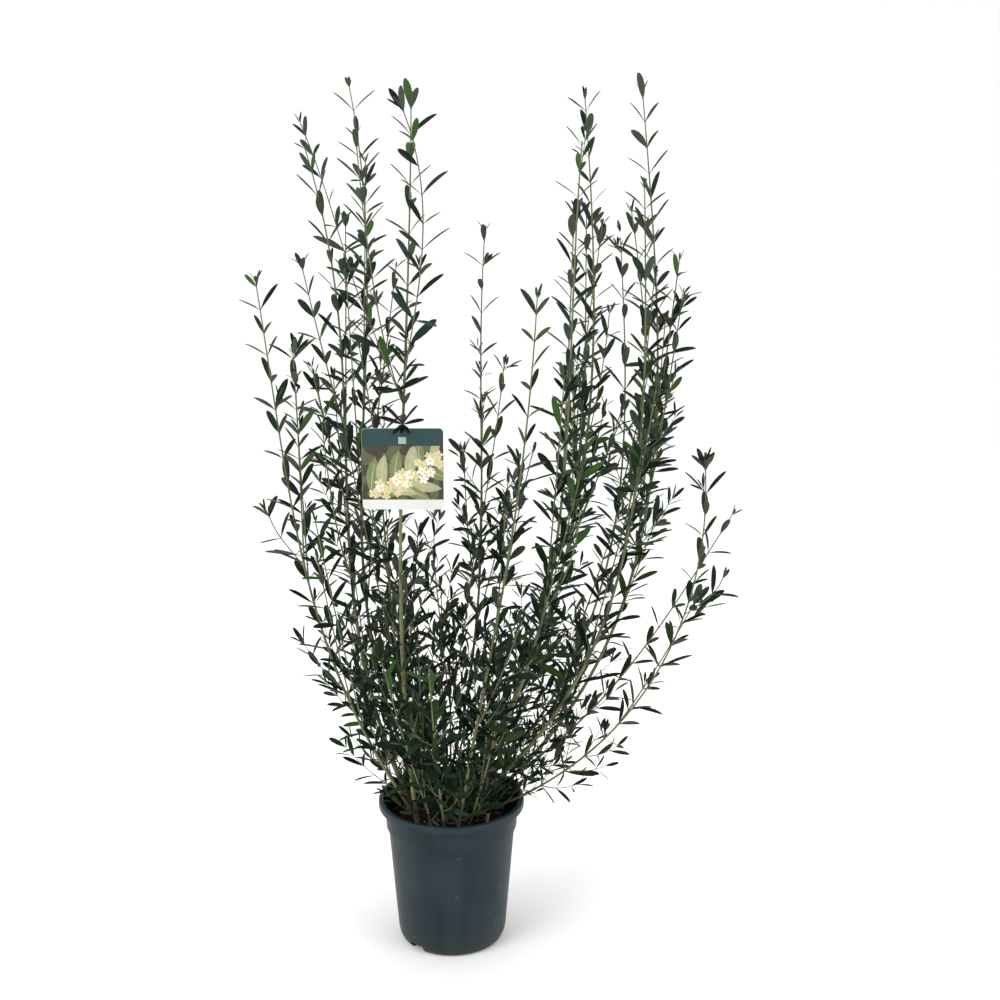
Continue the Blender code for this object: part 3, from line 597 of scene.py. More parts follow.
def fork_limb(room, wand, path, fork):
    """A fork leaves its wand at a leaf joint of the solids, as they have it."""
    joints = spaced(wand.bare + GAP + FIRST_LEAVES, path.length - LAST_LEAVES, LEAF_SPACING)
    begin = min(joints, key=lambda stop: abs(stop - fork.share * path.length))
    girth = radius_at(wand.girth, path, begin) * FORK_GIRTH
    branch = Path(fork_handles(path.at(begin), path.direction(begin), fork))
    room.take_path(fork.wand, branch, girth, 0.0, branch.length)
    return Limb(fork.wand, branch, girth, 0.0, FORK_BARE, "fork")


room = Room()
chance = Random(SEED)
limbs = []
wands = {wand.name: wand for wand in WANDS}
for wand in WANDS:
    path = Path(wand_handles(wand))
    take_wand(room, wand, path)
    limbs.append(Limb(wand.name, path, wand.girth, wand.bare, wand.bare, "wand"))
main_paths = {limb.owner: limb.path for limb in limbs}
for fork in FORKS:
    limbs.append(fork_limb(room, wands[fork.wand], main_paths[fork.wand], fork))
for index in range(LOW_SHOOTS):
    wand, path = low_wand(room, chance, index)
    take_wand(room, wand, path)
    limbs.append(Limb(wand.name, path, wand.girth, wand.bare, wand.bare, "low"))
print("limbs:", len(limbs), "metres of stem:", round(sum(l.path.length for l in limbs), 2))

# %% [markdown]
# Now the foliage, by the same rule as the solids but finer. A joint stands about every four
# centimetres. Each joint has a pair of leaves, a quarter turn on from the pair below, and some
# have a short shoot in the corner between leaf and stem: a tuft with small leaves, or lower
# down a whole leafy side shoot. Bare boughs carry such shoots too, which makes the foot dense.

# %% Sizes of leaves and shoots
JOINT_STEP = (0.036, 0.046)       # between pairs on a wand
LEAF_LENGTH = (0.037, 0.053)
LEAF_SLIMNESS = (0.20, 0.27)      # a leaf's width over its length
LEAF_SPREAD = (38.0, 66.0)        # degrees between leaf and stem, at the tip and at the foot
LEAF_SWING = 15.0                 # degrees that a leaf may stand higher or lower than that
LEAF_ROLL = 26.0                  # degrees that a leaf may turn round its own length
LEAF_TWIST = 0.35                 # radians that a pair may turn out of its quarter
LEAF_MISSING = 0.05
LEAF_TRIES = 3
LEAF_RETRY = 10                   # degrees further out at each try
LEAF_ROOT = 0.75                  # of the stem's radius, where a leaf is rooted
LEAF_BODY = (0.14, 0.98)          # the stretch of a leaf that needs room
LEAF_ROOM = (0.14, 0.10)          # half the room's width over the leaf's, tried and taken
LEAF_VARY = (0.85, 1.12)
FIRST_PAIR = (0.008, 0.020)       # over a bough's end
FORK_PAIR = 0.030                 # over a fork's start
LAST_PAIR = 0.004                 # under the tip
SHRINK_FROM = 0.35                # of the wand's length, where leaves start to get smaller
TIP_SHARE = 0.84                  # length of a tip's leaves over that of the lowest
TIP_PAIRS = (0.019, 0.011)        # lengths of the two smallest pairs
TUFT_SHARE = (0.10, 0.46)         # of leaf corners with a tuft, in the open and in the crowd
TUFT_LENGTH = (0.006, 0.018)
TUFT_STEP = 0.006
TUFT_LEAF = (0.022, 0.035)
TUFT_SPREAD = (24, 40)
SIDE_SHARE = (0.01, 0.64)         # of leaf corners with a side shoot, likewise
SIDE_LENGTH = (0.045, 0.130)
SIDE_STEP = (0.020, 0.031)
SIDE_LEAF = (0.032, 0.048)
SIDE_SPREAD = (28.0, 50.0)
SIDE_RADIUS = 0.0009
SIDE_RISE = 0.6                   # how far a side shoot turns up, against how far it goes on
SIDE_SIZES = (1.05, 0.70, 0.65)   # its leaves at the foot, near the tip and on the tip
SIDE_SPREADS = (50, 36, 24)       # and their spread there
SPUR_STEP = (0.018, 0.028)        # between spurs on a bare bough
SPUR_SHARE = (0.90, 0.34)         # of the corners that look inwards and outwards
SPUR_LENGTH = (0.025, 0.095)
SPUR_INWARD = 1.9                 # how much longer a spur grows towards the pot's middle
SPUR_TOP = 0.60                   # no spurs above this height
FOOT_TOP = 0.345                  # under this height small spurs hide the boughs' feet
FOOT_LEFT = -0.062                # but not left of this, where the photo shows bare soil
FOOT_SHARE = (0.95, 0.75)
FOOT_LENGTH = (0.022, 0.060)
FOOT_STEP = (0.010, 0.016)
FOOT_LEAF = (0.022, 0.036)
LONG_SHOOTS = {                   # how many long shoots stand on a wand, where it has any
    "left_arch": 4, "left_tall": 5, "back_left": 4, "inner_left": 3,
    "back_middle": 2, "front_middle": 3, "right_front": 4, "right_back": 4, "back_right": 3,
    "right_inner": 4, "right_tall": 5, "right_rear": 3, "right_low": 1, "low_1": 2, "low_2": 1,
    "low_3": 1, "low_4": 1, "low_5": 1, "low_7": 2, "low_8": 1,
}
LONG_PAST = 0.16                  # how far one may pass its own low shoot
LONG_PLACE = (0.10, 0.60)         # where along the wand they leave
LONG_LENGTH = (0.20, 0.46)
LONG_SPREAD = (9.0, 19.0)
LONG_GIRTH = 0.0019
LONG_RISE = 0.35                  # how far they turn up, against how far they follow the wand
LONG_BELOW = 0.10                 # how far they stay below the wand's tip
LONG_ASIDE = 0.05                 # how far the shoot's tip may stand beside the wand
LONG_TRIES = 6
CROWD_ASIDE = 0.04                # the crowd stands a little to the right
CROWD_OUT = 0.27                  # no crowd this far out
CROWD_FADE = 0.18
CROWD_TOP = 0.72                  # nor this high
CROWD_FALL = 0.34
FRESH_TOP = 0.12                  # metres of tip where young leaves show
FRESH_SHARE = 0.28
FRESH_ELSEWHERE = 0.012
TINTS = (("deep", 0.36), ("shade", 0.64), ("blue", 0.83), ("warm", 1.0))
DRY_LEAVES = 26                   # that many are tried
DRY_AWAY = (0.02, 0.086)
DRY_LIFT = 0.0048
DRY_LEAF = (0.014, 0.028)
DRY_SLIMNESS = 0.28
DRY_TILT = 0.12
CLEAR = 0.0002
RIM_CLEAR = 0.003
LABEL_VIEW = 0.10                 # nothing grows this far in front of the label
FINE_SEED = 97

Leaf = namedtuple("Leaf", "root axis face length width tint shape")
Twig = namedtuple("Twig", "path radius")
leaves = []
twigs = []
fine = Random(FINE_SEED)
reach_low, reach_high = cad_box
label_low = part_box("label_card")[0] - Vector((0, LABEL_VIEW, 0))
label_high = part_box("label_card")[1] + Vector((0, 0.0100, 0))


# %% Which places are open
def open_place(point, margin):
    """Inside the solids' reach, off the pot's wall, over the soil and clear of the label."""
    around = sqrt(point.x**2 + point.y**2)
    low = point.z < POT_RIM + RIM_CLEAR + margin
    if low and around > POT_MOUTH - RIM_CLEAR - margin:
        return False
    if point.z < SOIL_TOP + RIM_CLEAR + margin:
        return False
    for axis in range(3):
        if not reach_low[axis] + margin < point[axis] < reach_high[axis] - margin:
            return False
    spans = [label_low[k] - margin < point[k] < label_high[k] + margin for k in range(3)]
    return not all(spans)


def stretch_is_open(owner, start, end, radius):
    for share in (0.0, 0.25, 0.5, 0.75, 1.0):
        if not open_place(start.lerp(end, share), radius):
            return False
    return room.nearest(owner, start, end, radius) > CLEAR


# %% Leaves
def pick_tint(to_tip):
    """Mostly deep green; fresh leaves only near a tip."""
    if fine.random() < (FRESH_SHARE if to_tip < FRESH_TOP else FRESH_ELSEWHERE):
        return "fresh"
    draw = fine.random()
    return next(tint for tint, most in TINTS if draw < most)


def grow_leaf(owner, joint, stem_radius, direction, out, length, spread, to_tip):
    """One leaf from a joint. It is tried at a few angles, and left out where none is clear."""
    for attempt in range(LEAF_TRIES):
        angle = radians(spread + fine.uniform(-LEAF_SWING, LEAF_SWING) + LEAF_RETRY * attempt)
        aside = radians(fine.uniform(-LEAF_ROLL, LEAF_ROLL))
        axis = (direction * cos(angle) + out * sin(angle)).normalized()
        face = (direction - axis * axis.dot(direction)).normalized()
        face = Matrix.Rotation(aside, 3, axis) @ face
        root = joint + out * (stem_radius * LEAF_ROOT)
        low = root + axis * (length * LEAF_BODY[0])
        high = root + axis * (length * LEAF_BODY[1])
        width = length * fine.uniform(*LEAF_SLIMNESS)
        if not stretch_is_open(owner, low, high, width * LEAF_ROOM[0]):
            continue
        room.take(owner, low, high, width * LEAF_ROOM[1])
        leaves.append(Leaf(root, axis, face, length, width, pick_tint(to_tip), fine.randrange(4)))
        return True
    return False


def grow_pair(owner, path, girth, stop, turn, length, spread, to_tip):
    joint = path.at(stop)
    direction = path.direction(stop)
    for half in (0, pi):
        if fine.random() < LEAF_MISSING:
            continue
        out = side_of(direction, turn + half)
        size = length * fine.uniform(*LEAF_VARY)
        grow_leaf(owner, joint, girth, direction, out, size, spread, to_tip)


# %% Tufts and side shoots
def grow_twig(owner, joint, direction, out, length, step, leaf_length, spread):
    """A side shoot: it leaves at an angle, bends up, and has small pairs to its tip."""
    angle = radians(spread)
    axis = (direction * cos(angle) + out * sin(angle)).normalized()
    upright = (direction + Vector((0, 0, SIDE_RISE))).normalized()
    bend = joint + axis * (length * 0.5)
    tip = bend + (axis + upright).normalized() * (length * 0.5)
    if not stretch_is_open(owner, joint.lerp(tip, 0.2), tip, SIDE_RADIUS):
        return False
    path = Path((joint, joint.lerp(bend, 0.7), bend.lerp(tip, 0.3), tip), 12)
    room.take(owner, joint, path.at(path.length / 2), SIDE_RADIUS)
    room.take(owner, path.at(path.length / 2), tip, SIDE_RADIUS)
    twigs.append(Twig(path, SIDE_RADIUS))
    twig_owner = f"{owner}_twig_{len(twigs)}"
    turn = fine.uniform(0, pi)
    stop = min(step, path.length * 0.6)
    while stop < path.length - 0.002:
        share = stop / path.length
        size = leaf_length * (SIDE_SIZES[0] + (SIDE_SIZES[1] - SIDE_SIZES[0]) * share)
        leaf_spread = SIDE_SPREADS[0] + (SIDE_SPREADS[1] - SIDE_SPREADS[0]) * share
        grow_pair(twig_owner, path, SIDE_RADIUS, stop, turn, size, leaf_spread, 1.0)
        turn += pi / 2
        stop += step
    grow_pair(twig_owner, path, SIDE_RADIUS, path.length, turn, leaf_length * SIDE_SIZES[2],
              SIDE_SPREADS[2], 1.0)
    return True


def crowd(point):
    """From 0 in the open to 1 in the low middle, where the shrub is thickest."""
    spread = sqrt((point.x - CROWD_ASIDE)**2 + point.y**2)
    inward = min(max((CROWD_OUT - spread) / CROWD_FADE, 0.0), 1.0)
    downward = min(max((CROWD_TOP - point.z) / CROWD_FALL, 0.0), 1.0)
    return inward * downward


def share_at(point, shares):
    return shares[0] + (shares[1] - shares[0]) * crowd(point)


def grow_corner(owner, path, stop, turn):
    """What stands in a joint's two leaf corners, if anything."""
    joint = path.at(stop)
    direction = path.direction(stop)
    for half in (0, pi):
        out = side_of(direction, turn + half)
        draw = fine.random()
        side = share_at(joint, SIDE_SHARE)
        if draw < side:
            grow_twig(owner, joint, direction, out, fine.uniform(*SIDE_LENGTH),
                      fine.uniform(*SIDE_STEP), fine.uniform(*SIDE_LEAF),
                      fine.uniform(*SIDE_SPREAD))
        elif draw < side + share_at(joint, TUFT_SHARE):
            grow_twig(owner, joint, direction, out, fine.uniform(*TUFT_LENGTH),
                      TUFT_STEP, fine.uniform(*TUFT_LEAF), fine.uniform(*TUFT_SPREAD))


# %% Long shoots beside the wands
def long_shoot(limb, past):
    """A thin limb that leaves its wand at a narrow angle and runs up beside it, where free."""
    end = limb.path.at(limb.path.length)
    stop = limb.path.length * fine.uniform(*LONG_PLACE)
    length = min(fine.uniform(*LONG_LENGTH), (limb.path.length - stop) * 0.8 + past)
    joint = limb.path.at(stop)
    direction = limb.path.direction(stop)
    out = side_of(direction, fine.uniform(0, tau))
    angle = radians(fine.uniform(*LONG_SPREAD))
    leaving = direction * cos(angle) + out * sin(angle)
    onward = (leaving + Vector((0, 0, LONG_RISE))).normalized()
    tip = joint + leaving * (length * 0.45) + onward * (length * 0.55)
    if limb.kind == "wand" and tip.z > end.z - LONG_BELOW:
        return None
    level = min((limb.path.at(s) for s in spaced(stop, limb.path.length, 0.02)),
                key=lambda point: abs(point.z - tip.z))
    if abs(tip.x - level.x) > LONG_ASIDE:
        return None
    path = Path((joint, joint + leaving * (length * 0.3), tip - onward * (length * 0.3), tip))
    shown = all(open_place(path.at(stop), 0.012) for stop in spaced(0.02, path.length, 0.02))
    if not shown or room.along(limb.owner, path, LONG_GIRTH) < CLEAR:
        return None
    return Limb(limb.owner, path, LONG_GIRTH, 0.0, FORK_BARE, "fork")


def long_shoots(limb):
    """As many long shoots as the wand has, each tried a few times."""
    found = []
    past = LONG_PAST if limb.kind == "low" else 0.0
    for index in range(LONG_SHOOTS.get(limb.owner, 0)):
        tries = (long_shoot(limb, past) for attempt in range(LONG_TRIES))
        shoot = next((made for made in tries if made), None)
        if shoot:
            room.take_path(limb.owner, shoot.path, LONG_GIRTH, 0.0, shoot.path.length)
            found.append(shoot)
    return found


for limb in list(limbs):
    if limb.kind != "fork":
        limbs += long_shoots(limb)
print("limbs with the long shoots:", len(limbs))


# %% Foliage on every limb
def grow_limb(limb):
    """Pairs from the bough's end to the tip, with what grows in their corners."""
    path = limb.path
    joints = []
    stop = limb.start + fine.uniform(*FIRST_PAIR) if limb.kind != "fork" else FORK_PAIR
    turn = fine.uniform(0, pi)
    while stop < path.length - LAST_PAIR:
        share = stop / path.length
        shrink = max(share - SHRINK_FROM, 0) / (1 - SHRINK_FROM)
        length = fine.uniform(*LEAF_LENGTH) * (1 - (1 - TIP_SHARE) * shrink)
        spread = LEAF_SPREAD[1] + (LEAF_SPREAD[0] - LEAF_SPREAD[1]) * share
        radius = radius_at(limb.girth, path, stop)
        twist = fine.uniform(-LEAF_TWIST, LEAF_TWIST)
        grow_pair(limb.owner, path, radius, stop, turn + twist, length, spread,
                  path.length - stop)
        grow_corner(limb.owner, path, stop, turn + twist)
        joints.append(stop)
        turn += pi / 2
        stop += fine.uniform(*JOINT_STEP) * (1.0 - 0.15 * share)
    for index, length in enumerate(TIP_PAIRS):
        grow_pair(limb.owner, path, TIP_RADIUS, path.length, turn + index * pi / 2,
                  length, 26 - 12 * index, 0.0)
    return joints


def grow_spurs(limb):
    """Short leafy shoots on a bough below its foliage."""
    stop = 0.014
    turn = fine.uniform(0, pi)
    while stop < limb.start:
        joint = limb.path.at(stop)
        if joint.z > SPUR_TOP:
            return
        for half in (0, pi):
            direction = limb.path.direction(stop)
            out = side_of(direction, turn + half)
            inwards = out.x * (joint.x - CROWD_ASIDE) + out.y * joint.y < 0
            share, length, step, leaf = SPUR_SHARE, SPUR_LENGTH, SIDE_STEP, SIDE_LEAF
            if joint.z < FOOT_TOP and joint.x > FOOT_LEFT:
                share, length, step, leaf = FOOT_SHARE, FOOT_LENGTH, FOOT_STEP, FOOT_LEAF
            if fine.random() < share[0 if inwards else 1]:
                reach = fine.uniform(*length) * (SPUR_INWARD if inwards else 1.0)
                grow_twig("bough_" + limb.owner, joint, direction, out, reach,
                          fine.uniform(*step), fine.uniform(*leaf), fine.uniform(*SIDE_SPREAD))
        turn += pi / 2 + fine.uniform(-LEAF_TWIST, LEAF_TWIST)
        stop += fine.uniform(*SPUR_STEP)


def grow_label_tuft():
    """A few leaves of the front stem that lie over the card's upper edge."""
    path = main_paths["front"]
    stop = 0.0
    while path.at(stop).z < label_high.z + 0.0035:
        stop += NEAR
    for x, y, z, length in LABEL_TUFT:
        axis = Vector((x, y, z)).normalized()
        face = (Vector((0, -0.5, 1)) - axis * axis.dot(Vector((0, -0.5, 1)))).normalized()
        leaves.append(Leaf(path.at(stop), axis, face, length, length * 0.27, "shade", 1))


def drop_dry_leaf():
    """A dry leaf that lies on the crumbs of the soil, where there is room for it."""
    away = fine.uniform(*DRY_AWAY)
    around = fine.uniform(0, tau)
    root = Vector((away * cos(around), away * sin(around), SOIL_TOP + DRY_LIFT))
    axis = Vector((fine.uniform(-1, 1), fine.uniform(-1, 1), DRY_TILT)).normalized()
    length = fine.uniform(*DRY_LEAF)
    if stretch_is_open("dry", root, root + axis * length, 0.001):
        face = axis.cross(Vector((axis.y, -axis.x, 0)).normalized())
        width = length * DRY_SLIMNESS
        leaves.append(Leaf(root, axis, face, length, width, "dry", fine.randrange(4)))


STUBS = (
    # X, Y, and height of the wood that was cut off over the soil
    (-0.079, 0.040, 0.054), (-0.060, 0.060, 0.034), (0.056, -0.058, 0.022),
)
STUB_RADIUS = 0.0022
LABEL_TUFT = (
    # heading, and length
    (-0.80, -0.40, 0.42, 0.040), (0.82, -0.40, 0.34, 0.036), (-0.52, -0.45, 0.78, 0.046),
    (0.46, -0.45, 0.80, 0.044), (-0.48, -0.85, -0.24, 0.027), (0.40, -0.88, -0.26, 0.025),
    (-0.05, -0.95, -0.30, 0.022), (0.05, -0.70, 0.72, 0.034), (-0.16, -0.95, 0.12, 0.026),
)
stub_lines = []
for x, y, height in STUBS:
    foot = Vector((x, y, SOIL_TOP + GAP))
    top = Vector((x * 1.04, y * 1.04, SOIL_TOP + height))
    if room.nearest("stub", foot, top, STUB_RADIUS) > CLEAR:
        room.take("stub", foot, top, STUB_RADIUS)
        stub_lines.append([(foot, STUB_RADIUS * 1.15), (foot.lerp(top, 0.5), STUB_RADIUS),
                           (top, STUB_RADIUS)])
print("cut stubs:", len(stub_lines))
grow_label_tuft()
joints_on = {}
for number, limb in enumerate(limbs):
    joints_on[number] = grow_limb(limb)
    if limb.kind != "fork":
        grow_spurs(limb)
for index in range(DRY_LEAVES):
    drop_dry_leaf()
print("leaves:", len(leaves), "side shoots:", len(twigs), "room taken:", room.count)

# %% [markdown]
# The stems are drawn as lines first: each vertex is a place on a stem and holds its radius. A
# Geometry Nodes tree turns those lines to curves and sweeps a circle along them, which is how
# Blender makes any pipe, cable or twig. Where a pair of leaves stands, the stem is a little
# thicker, as real joints are, and a noise pushes the skin in and out for the bark's relief.

# %% The tree that clothes lines with bark
bark_tree, size = new_tree("bark", {
    "Sides": "Int", "Relief": "Float", "Grain": "Float", "Level": "Float", "Blend": "Float",
    "Lower Finish": "Material", "Upper Finish": "Material"})
radius = add(bark_tree, "GeometryNodeInputNamedAttribute", {"Name": "radius"}, data_type="FLOAT")
line = add(bark_tree, "GeometryNodeMeshToCurve", {"Mesh": size["Geometry"]})
ring = add(bark_tree, "GeometryNodeCurvePrimitiveCircle",
           {"Resolution": size["Sides"], "Radius": 1.0})
skin = add(bark_tree, "GeometryNodeCurveToMesh",
           {"Curve": line.outputs[0], "Profile Curve": ring.outputs[0],
            "Scale": radius.outputs["Attribute"], "Fill Caps": True})
spot = add(bark_tree, "GeometryNodeInputPosition").outputs[0]
long_spot = add(bark_tree, "ShaderNodeVectorMath", {0: spot, 1: (1.0, 1.0, 0.3)},
                operation="MULTIPLY")
rough = add(bark_tree, "ShaderNodeTexNoise",
            {"Vector": long_spot.outputs[0], "Scale": size["Grain"], "Detail": 2.0})
centred = add(bark_tree, "ShaderNodeMath", {0: rough.outputs["Fac"], 1: 0.5},
              operation="SUBTRACT")
push = add(bark_tree, "ShaderNodeMath", {0: centred.outputs[0], 1: size["Relief"]},
           operation="MULTIPLY")
normal = add(bark_tree, "GeometryNodeInputNormal").outputs[0]
offset = add(bark_tree, "ShaderNodeVectorMath", {0: normal, "Scale": push.outputs[0]},
             operation="SCALE")
skin = add(bark_tree, "GeometryNodeSetPosition",
           {"Geometry": skin.outputs[0], "Offset": offset.outputs[0]})
skin = add(bark_tree, "GeometryNodeSetShadeSmooth", {"Geometry": skin.outputs[0]})
skin = add(bark_tree, "GeometryNodeRealizeInstances", {"Geometry": skin.outputs[0]})
height = add(bark_tree, "ShaderNodeSeparateXYZ", {0: spot}).outputs["Z"]
sway = add(bark_tree, "ShaderNodeTexNoise", {"Vector": spot, "Scale": 60.0})
swung = add(bark_tree, "ShaderNodeMath",
            {0: sway.outputs["Fac"], 1: size["Blend"], 2: height}, operation="MULTIPLY_ADD")
upper = add(bark_tree, "FunctionNodeCompare", {"A": swung.outputs[0], "B": size["Level"]},
            data_type="FLOAT", operation="GREATER_THAN")
skin = add(bark_tree, "GeometryNodeSetMaterial",
           {"Geometry": skin.outputs[0], "Material": size["Lower Finish"]})
skin = add(bark_tree, "GeometryNodeSetMaterial",
           {"Geometry": skin.outputs[0], "Selection": upper.outputs[0],
            "Material": size["Upper Finish"]})
out = add(bark_tree, "NodeGroupOutput", {"Geometry": skin.outputs[0]})
print("bark tree:", len(bark_tree.nodes), "nodes")

# %% Lines for the stems
JOINT_SWELL = 0.22                # how much thicker a stem is at a joint
JOINT_HALF = 0.0022               # half the length of the swelling


def lines_mesh(name, lines):
    """One mesh of open lines, each a list of (point, radius)."""
    mesh = bpy.data.meshes.new(name)
    points = [tuple(point) for line in lines for point, radius in line]
    radii = [radius for line in lines for point, radius in line]
    edges = []
    first = 0
    for line in lines:
        edges += [(first + step, first + step + 1) for step in range(len(line) - 1)]
        first += len(line)
    mesh.from_pydata(points, edges, [])
    mesh.attributes.new("radius", "FLOAT", "POINT").data.foreach_set("value", radii)
    return mesh


def stem_line(limb, start, end, step, joints):
    """A stem's line between two lengths, with the joints' swellings."""
    stops = set(spaced(start, end, step))
    for joint in joints:
        if start < joint < end:
            stops = {stop for stop in stops if abs(stop - joint) > 2 * JOINT_HALF}
            stops |= {joint - JOINT_HALF, joint, joint + JOINT_HALF}
    stops = sorted(stop for stop in stops if start <= stop <= end)
    line = []
    for stop in stops:
        radius = radius_at(limb.girth, limb.path, stop)
        if any(abs(stop - joint) < JOINT_HALF / 2 for joint in joints):
            radius *= 1 + JOINT_SWELL
        line.append((limb.path.at(stop), radius))
    return line


def bough_line(limb):
    """A bough flares at the soil."""
    joints = spaced(0.03, limb.start, 0.034)[:-1]
    line = stem_line(limb, 0.0, limb.start + GAP, 0.0045, joints)
    for index, (point, radius) in enumerate(line):
        rise = (point.z - SOIL_TOP) / FLARE_LENGTH
        line[index] = (point, radius * (1 + (FLARE - 1) * max(1 - rise, 0.0)))
    return line


# %% [markdown]
# The boughs come first, one mesh that stands for all the bough solids: grey brown wood at the
# foot, turning olive a hand's width up. The green wands grow on from them with no gap, and the
# side shoots are the thinnest.

# %% Boughs, wands and side shoots
bough_lines = [bough_line(limb) for limb in limbs if limb.kind != "fork"]
wood = run_tree(bark_tree, "boughs", lines_mesh("bough_lines", bough_lines), {
    "Sides": 12, "Relief": 0.0009, "Grain": 420.0, "Level": SOIL_TOP + 0.11, "Blend": 0.12,
    "Lower Finish": WOOD, "Upper Finish": OLIVE_BARK})
bough_nodes = [node for node in frame["nodes"] if node.startswith("bough_")]
place(wood, "boughs", bough_nodes)

wand_lines = []
for number, limb in enumerate(limbs):
    start = 0.0 if limb.kind == "fork" else limb.start + GAP
    wand_lines.append(stem_line(limb, start, limb.path.length, 0.009, joints_on[number]))
foliage_nodes = [node for node in frame["nodes"] if node.startswith("foliage_")]
wand_skin = run_tree(bark_tree, "wands", lines_mesh("wand_lines", wand_lines), {
    "Sides": 8, "Relief": 0.0004, "Grain": 500.0, "Level": SOIL_TOP + 0.42, "Blend": 0.25,
    "Lower Finish": OLIVE_BARK, "Upper Finish": GREEN_STEM})
place(wand_skin, "wands", foliage_nodes)

TWIG_TIP = 0.5                    # of a side shoot's radius, at its tip
twig_lines = []
for twig in twigs:
    stops = spaced(0.0, twig.path.length, 0.007)
    twig_lines.append([(twig.path.at(stop),
                        twig.radius * (1 - (1 - TWIG_TIP) * stop / twig.path.length))
                       for stop in stops])
twig_skin = run_tree(bark_tree, "side_shoots", lines_mesh("twig_lines", twig_lines), {
    "Sides": 6, "Relief": 0.0002, "Grain": 600.0, "Level": SOIL_TOP + 0.02, "Blend": 0.10,
    "Lower Finish": OLIVE_BARK, "Upper Finish": GREEN_STEM})
place(twig_skin, "side_shoots")
stub_skin = run_tree(bark_tree, "cut_stubs", lines_mesh("stub_lines", stub_lines), {
    "Sides": 10, "Relief": 0.0006, "Grain": 420.0, "Level": 10.0, "Blend": 0.0,
    "Lower Finish": CUT_WOOD, "Upper Finish": CUT_WOOD})
place(stub_skin, "cut_stubs")

# %% [markdown]
# A leaf of this shrub is narrow and leathery, widest past its middle, with a blunt tip, a
# short stalk and a fold along its rib. Four such leaves are modelled, each bent a little
# differently. They are closed shapes with an upper and a lower skin, and of few faces, because
# thousands of them will stand on the shrub.

# %% Four leaves
LEAF_STATIONS = (0.0, 0.06, 0.16, 0.32, 0.52, 0.72, 0.87, 0.96, 1.0)
LEAF_STALK = 0.06                 # the stalk's share of the length
LEAF_SHAPES = (
    # fold, curl back, side bend, bluntness
    (0.34, 0.08, 0.00, 0.62),
    (0.22, 0.16, 0.03, 0.55),
    (0.44, -0.05, -0.03, 0.68),
    (0.28, 0.26, 0.02, 0.58),
)
LEAF_THICK = 0.012                # of its length
STALK_HALF = 0.10                 # of the leaf's width
LEAF_FORWARD = 1.15               # over 1 moves the widest place towards the tip
LEAF_ROUND = 2.2                  # 2 is an ellipse, more is fuller
LEAF_LIFT = 0.26                  # how far the edges rise, for a fold of one


def leaf_half(t, bluntness):
    """Half the width at a share of the length: a stalk, then a long ellipse."""
    if t <= LEAF_STALK:
        return STALK_HALF
    along = (t - LEAF_STALK) / (1 - LEAF_STALK)
    centred = 2 * along ** LEAF_FORWARD - 1
    blade = 0.5 * (1 - abs(centred) ** LEAF_ROUND) ** bluntness
    return max(blade, STALK_HALF * (1 - along))


def leaf_mesh(name, fold, curl, bend, bluntness):
    """A closed leaf of length one along +X, its upper side to +Z, its width one along Y.

    Each row holds the left edge, the rib on top, the right edge and the rib below, so the last
    two faces between two rows are the underside.
    """
    bm = bmesh.new()
    lower_side = bm.faces.layers.bool.new("lower_side")
    rows = []
    for t in LEAF_STATIONS:
        middle = Vector((t, bend * sin(pi * t), -curl * 0.5 * t * t))
        if t == 1.0:
            rows.append([bm.verts.new(middle)])
            continue
        half = leaf_half(t, bluntness)
        rise = Vector((0, 0, fold * half * LEAF_LIFT))
        thick = Vector((0, 0, LEAF_THICK / 2))
        left = bm.verts.new(middle + Vector((0, half, 0)) + rise)
        right = bm.verts.new(middle - Vector((0, half, 0)) + rise)
        rows.append([left, bm.verts.new(middle + thick), right, bm.verts.new(middle - thick)])
    bm.faces.new(rows[0])
    for before, after in zip(rows, rows[1:]):
        for corner, face in enumerate(join_rings(bm, before, after)):
            face[lower_side] = corner >= 2
    bmesh.ops.recalc_face_normals(bm, faces=bm.faces)
    mesh = finished(bm, name)
    mesh.shade_smooth()
    mesh.set_sharp_from_angle(angle=radians(75))
    return mesh


leaf_patterns = bpy.data.collections.new("leaf_patterns")
bpy.context.scene.collection.children.link(leaf_patterns)
for index, shape in enumerate(LEAF_SHAPES):
    pattern = bpy.data.objects.new(f"leaf_pattern_{index}", leaf_mesh(f"leaf_{index}", *shape))
    leaf_patterns.objects.link(pattern)

# %% The tree that hangs leaves on joints
leaf_tree, size = new_tree("leaves", {
    "Patterns": "Collection", "Upper Finish": "Material", "Lower Finish": "Material"})
pattern = add(leaf_tree, "GeometryNodeCollectionInfo",
              {"Collection": size["Patterns"], "Separate Children": True, "Reset Children": True})
turned = add(leaf_tree, "GeometryNodeInputNamedAttribute", {"Name": "turn"},
             data_type="FLOAT_VECTOR")
sized = add(leaf_tree, "GeometryNodeInputNamedAttribute", {"Name": "size"},
            data_type="FLOAT_VECTOR")
shape = add(leaf_tree, "GeometryNodeInputNamedAttribute", {"Name": "shape"}, data_type="INT")
turning = add(leaf_tree, "FunctionNodeEulerToRotation", {0: turned.outputs["Attribute"]})
hung = add(leaf_tree, "GeometryNodeInstanceOnPoints",
           {"Points": size["Geometry"], "Instance": pattern.outputs[0], "Pick Instance": True,
            "Instance Index": shape.outputs["Attribute"], "Rotation": turning.outputs[0],
            "Scale": sized.outputs["Attribute"]})
real = add(leaf_tree, "GeometryNodeRealizeInstances", {"Geometry": hung.outputs[0]})
real = add(leaf_tree, "GeometryNodeSetMaterial",
           {"Geometry": real.outputs[0], "Material": size["Upper Finish"]})
under = add(leaf_tree, "GeometryNodeInputNamedAttribute", {"Name": "lower_side"},
            data_type="BOOLEAN")
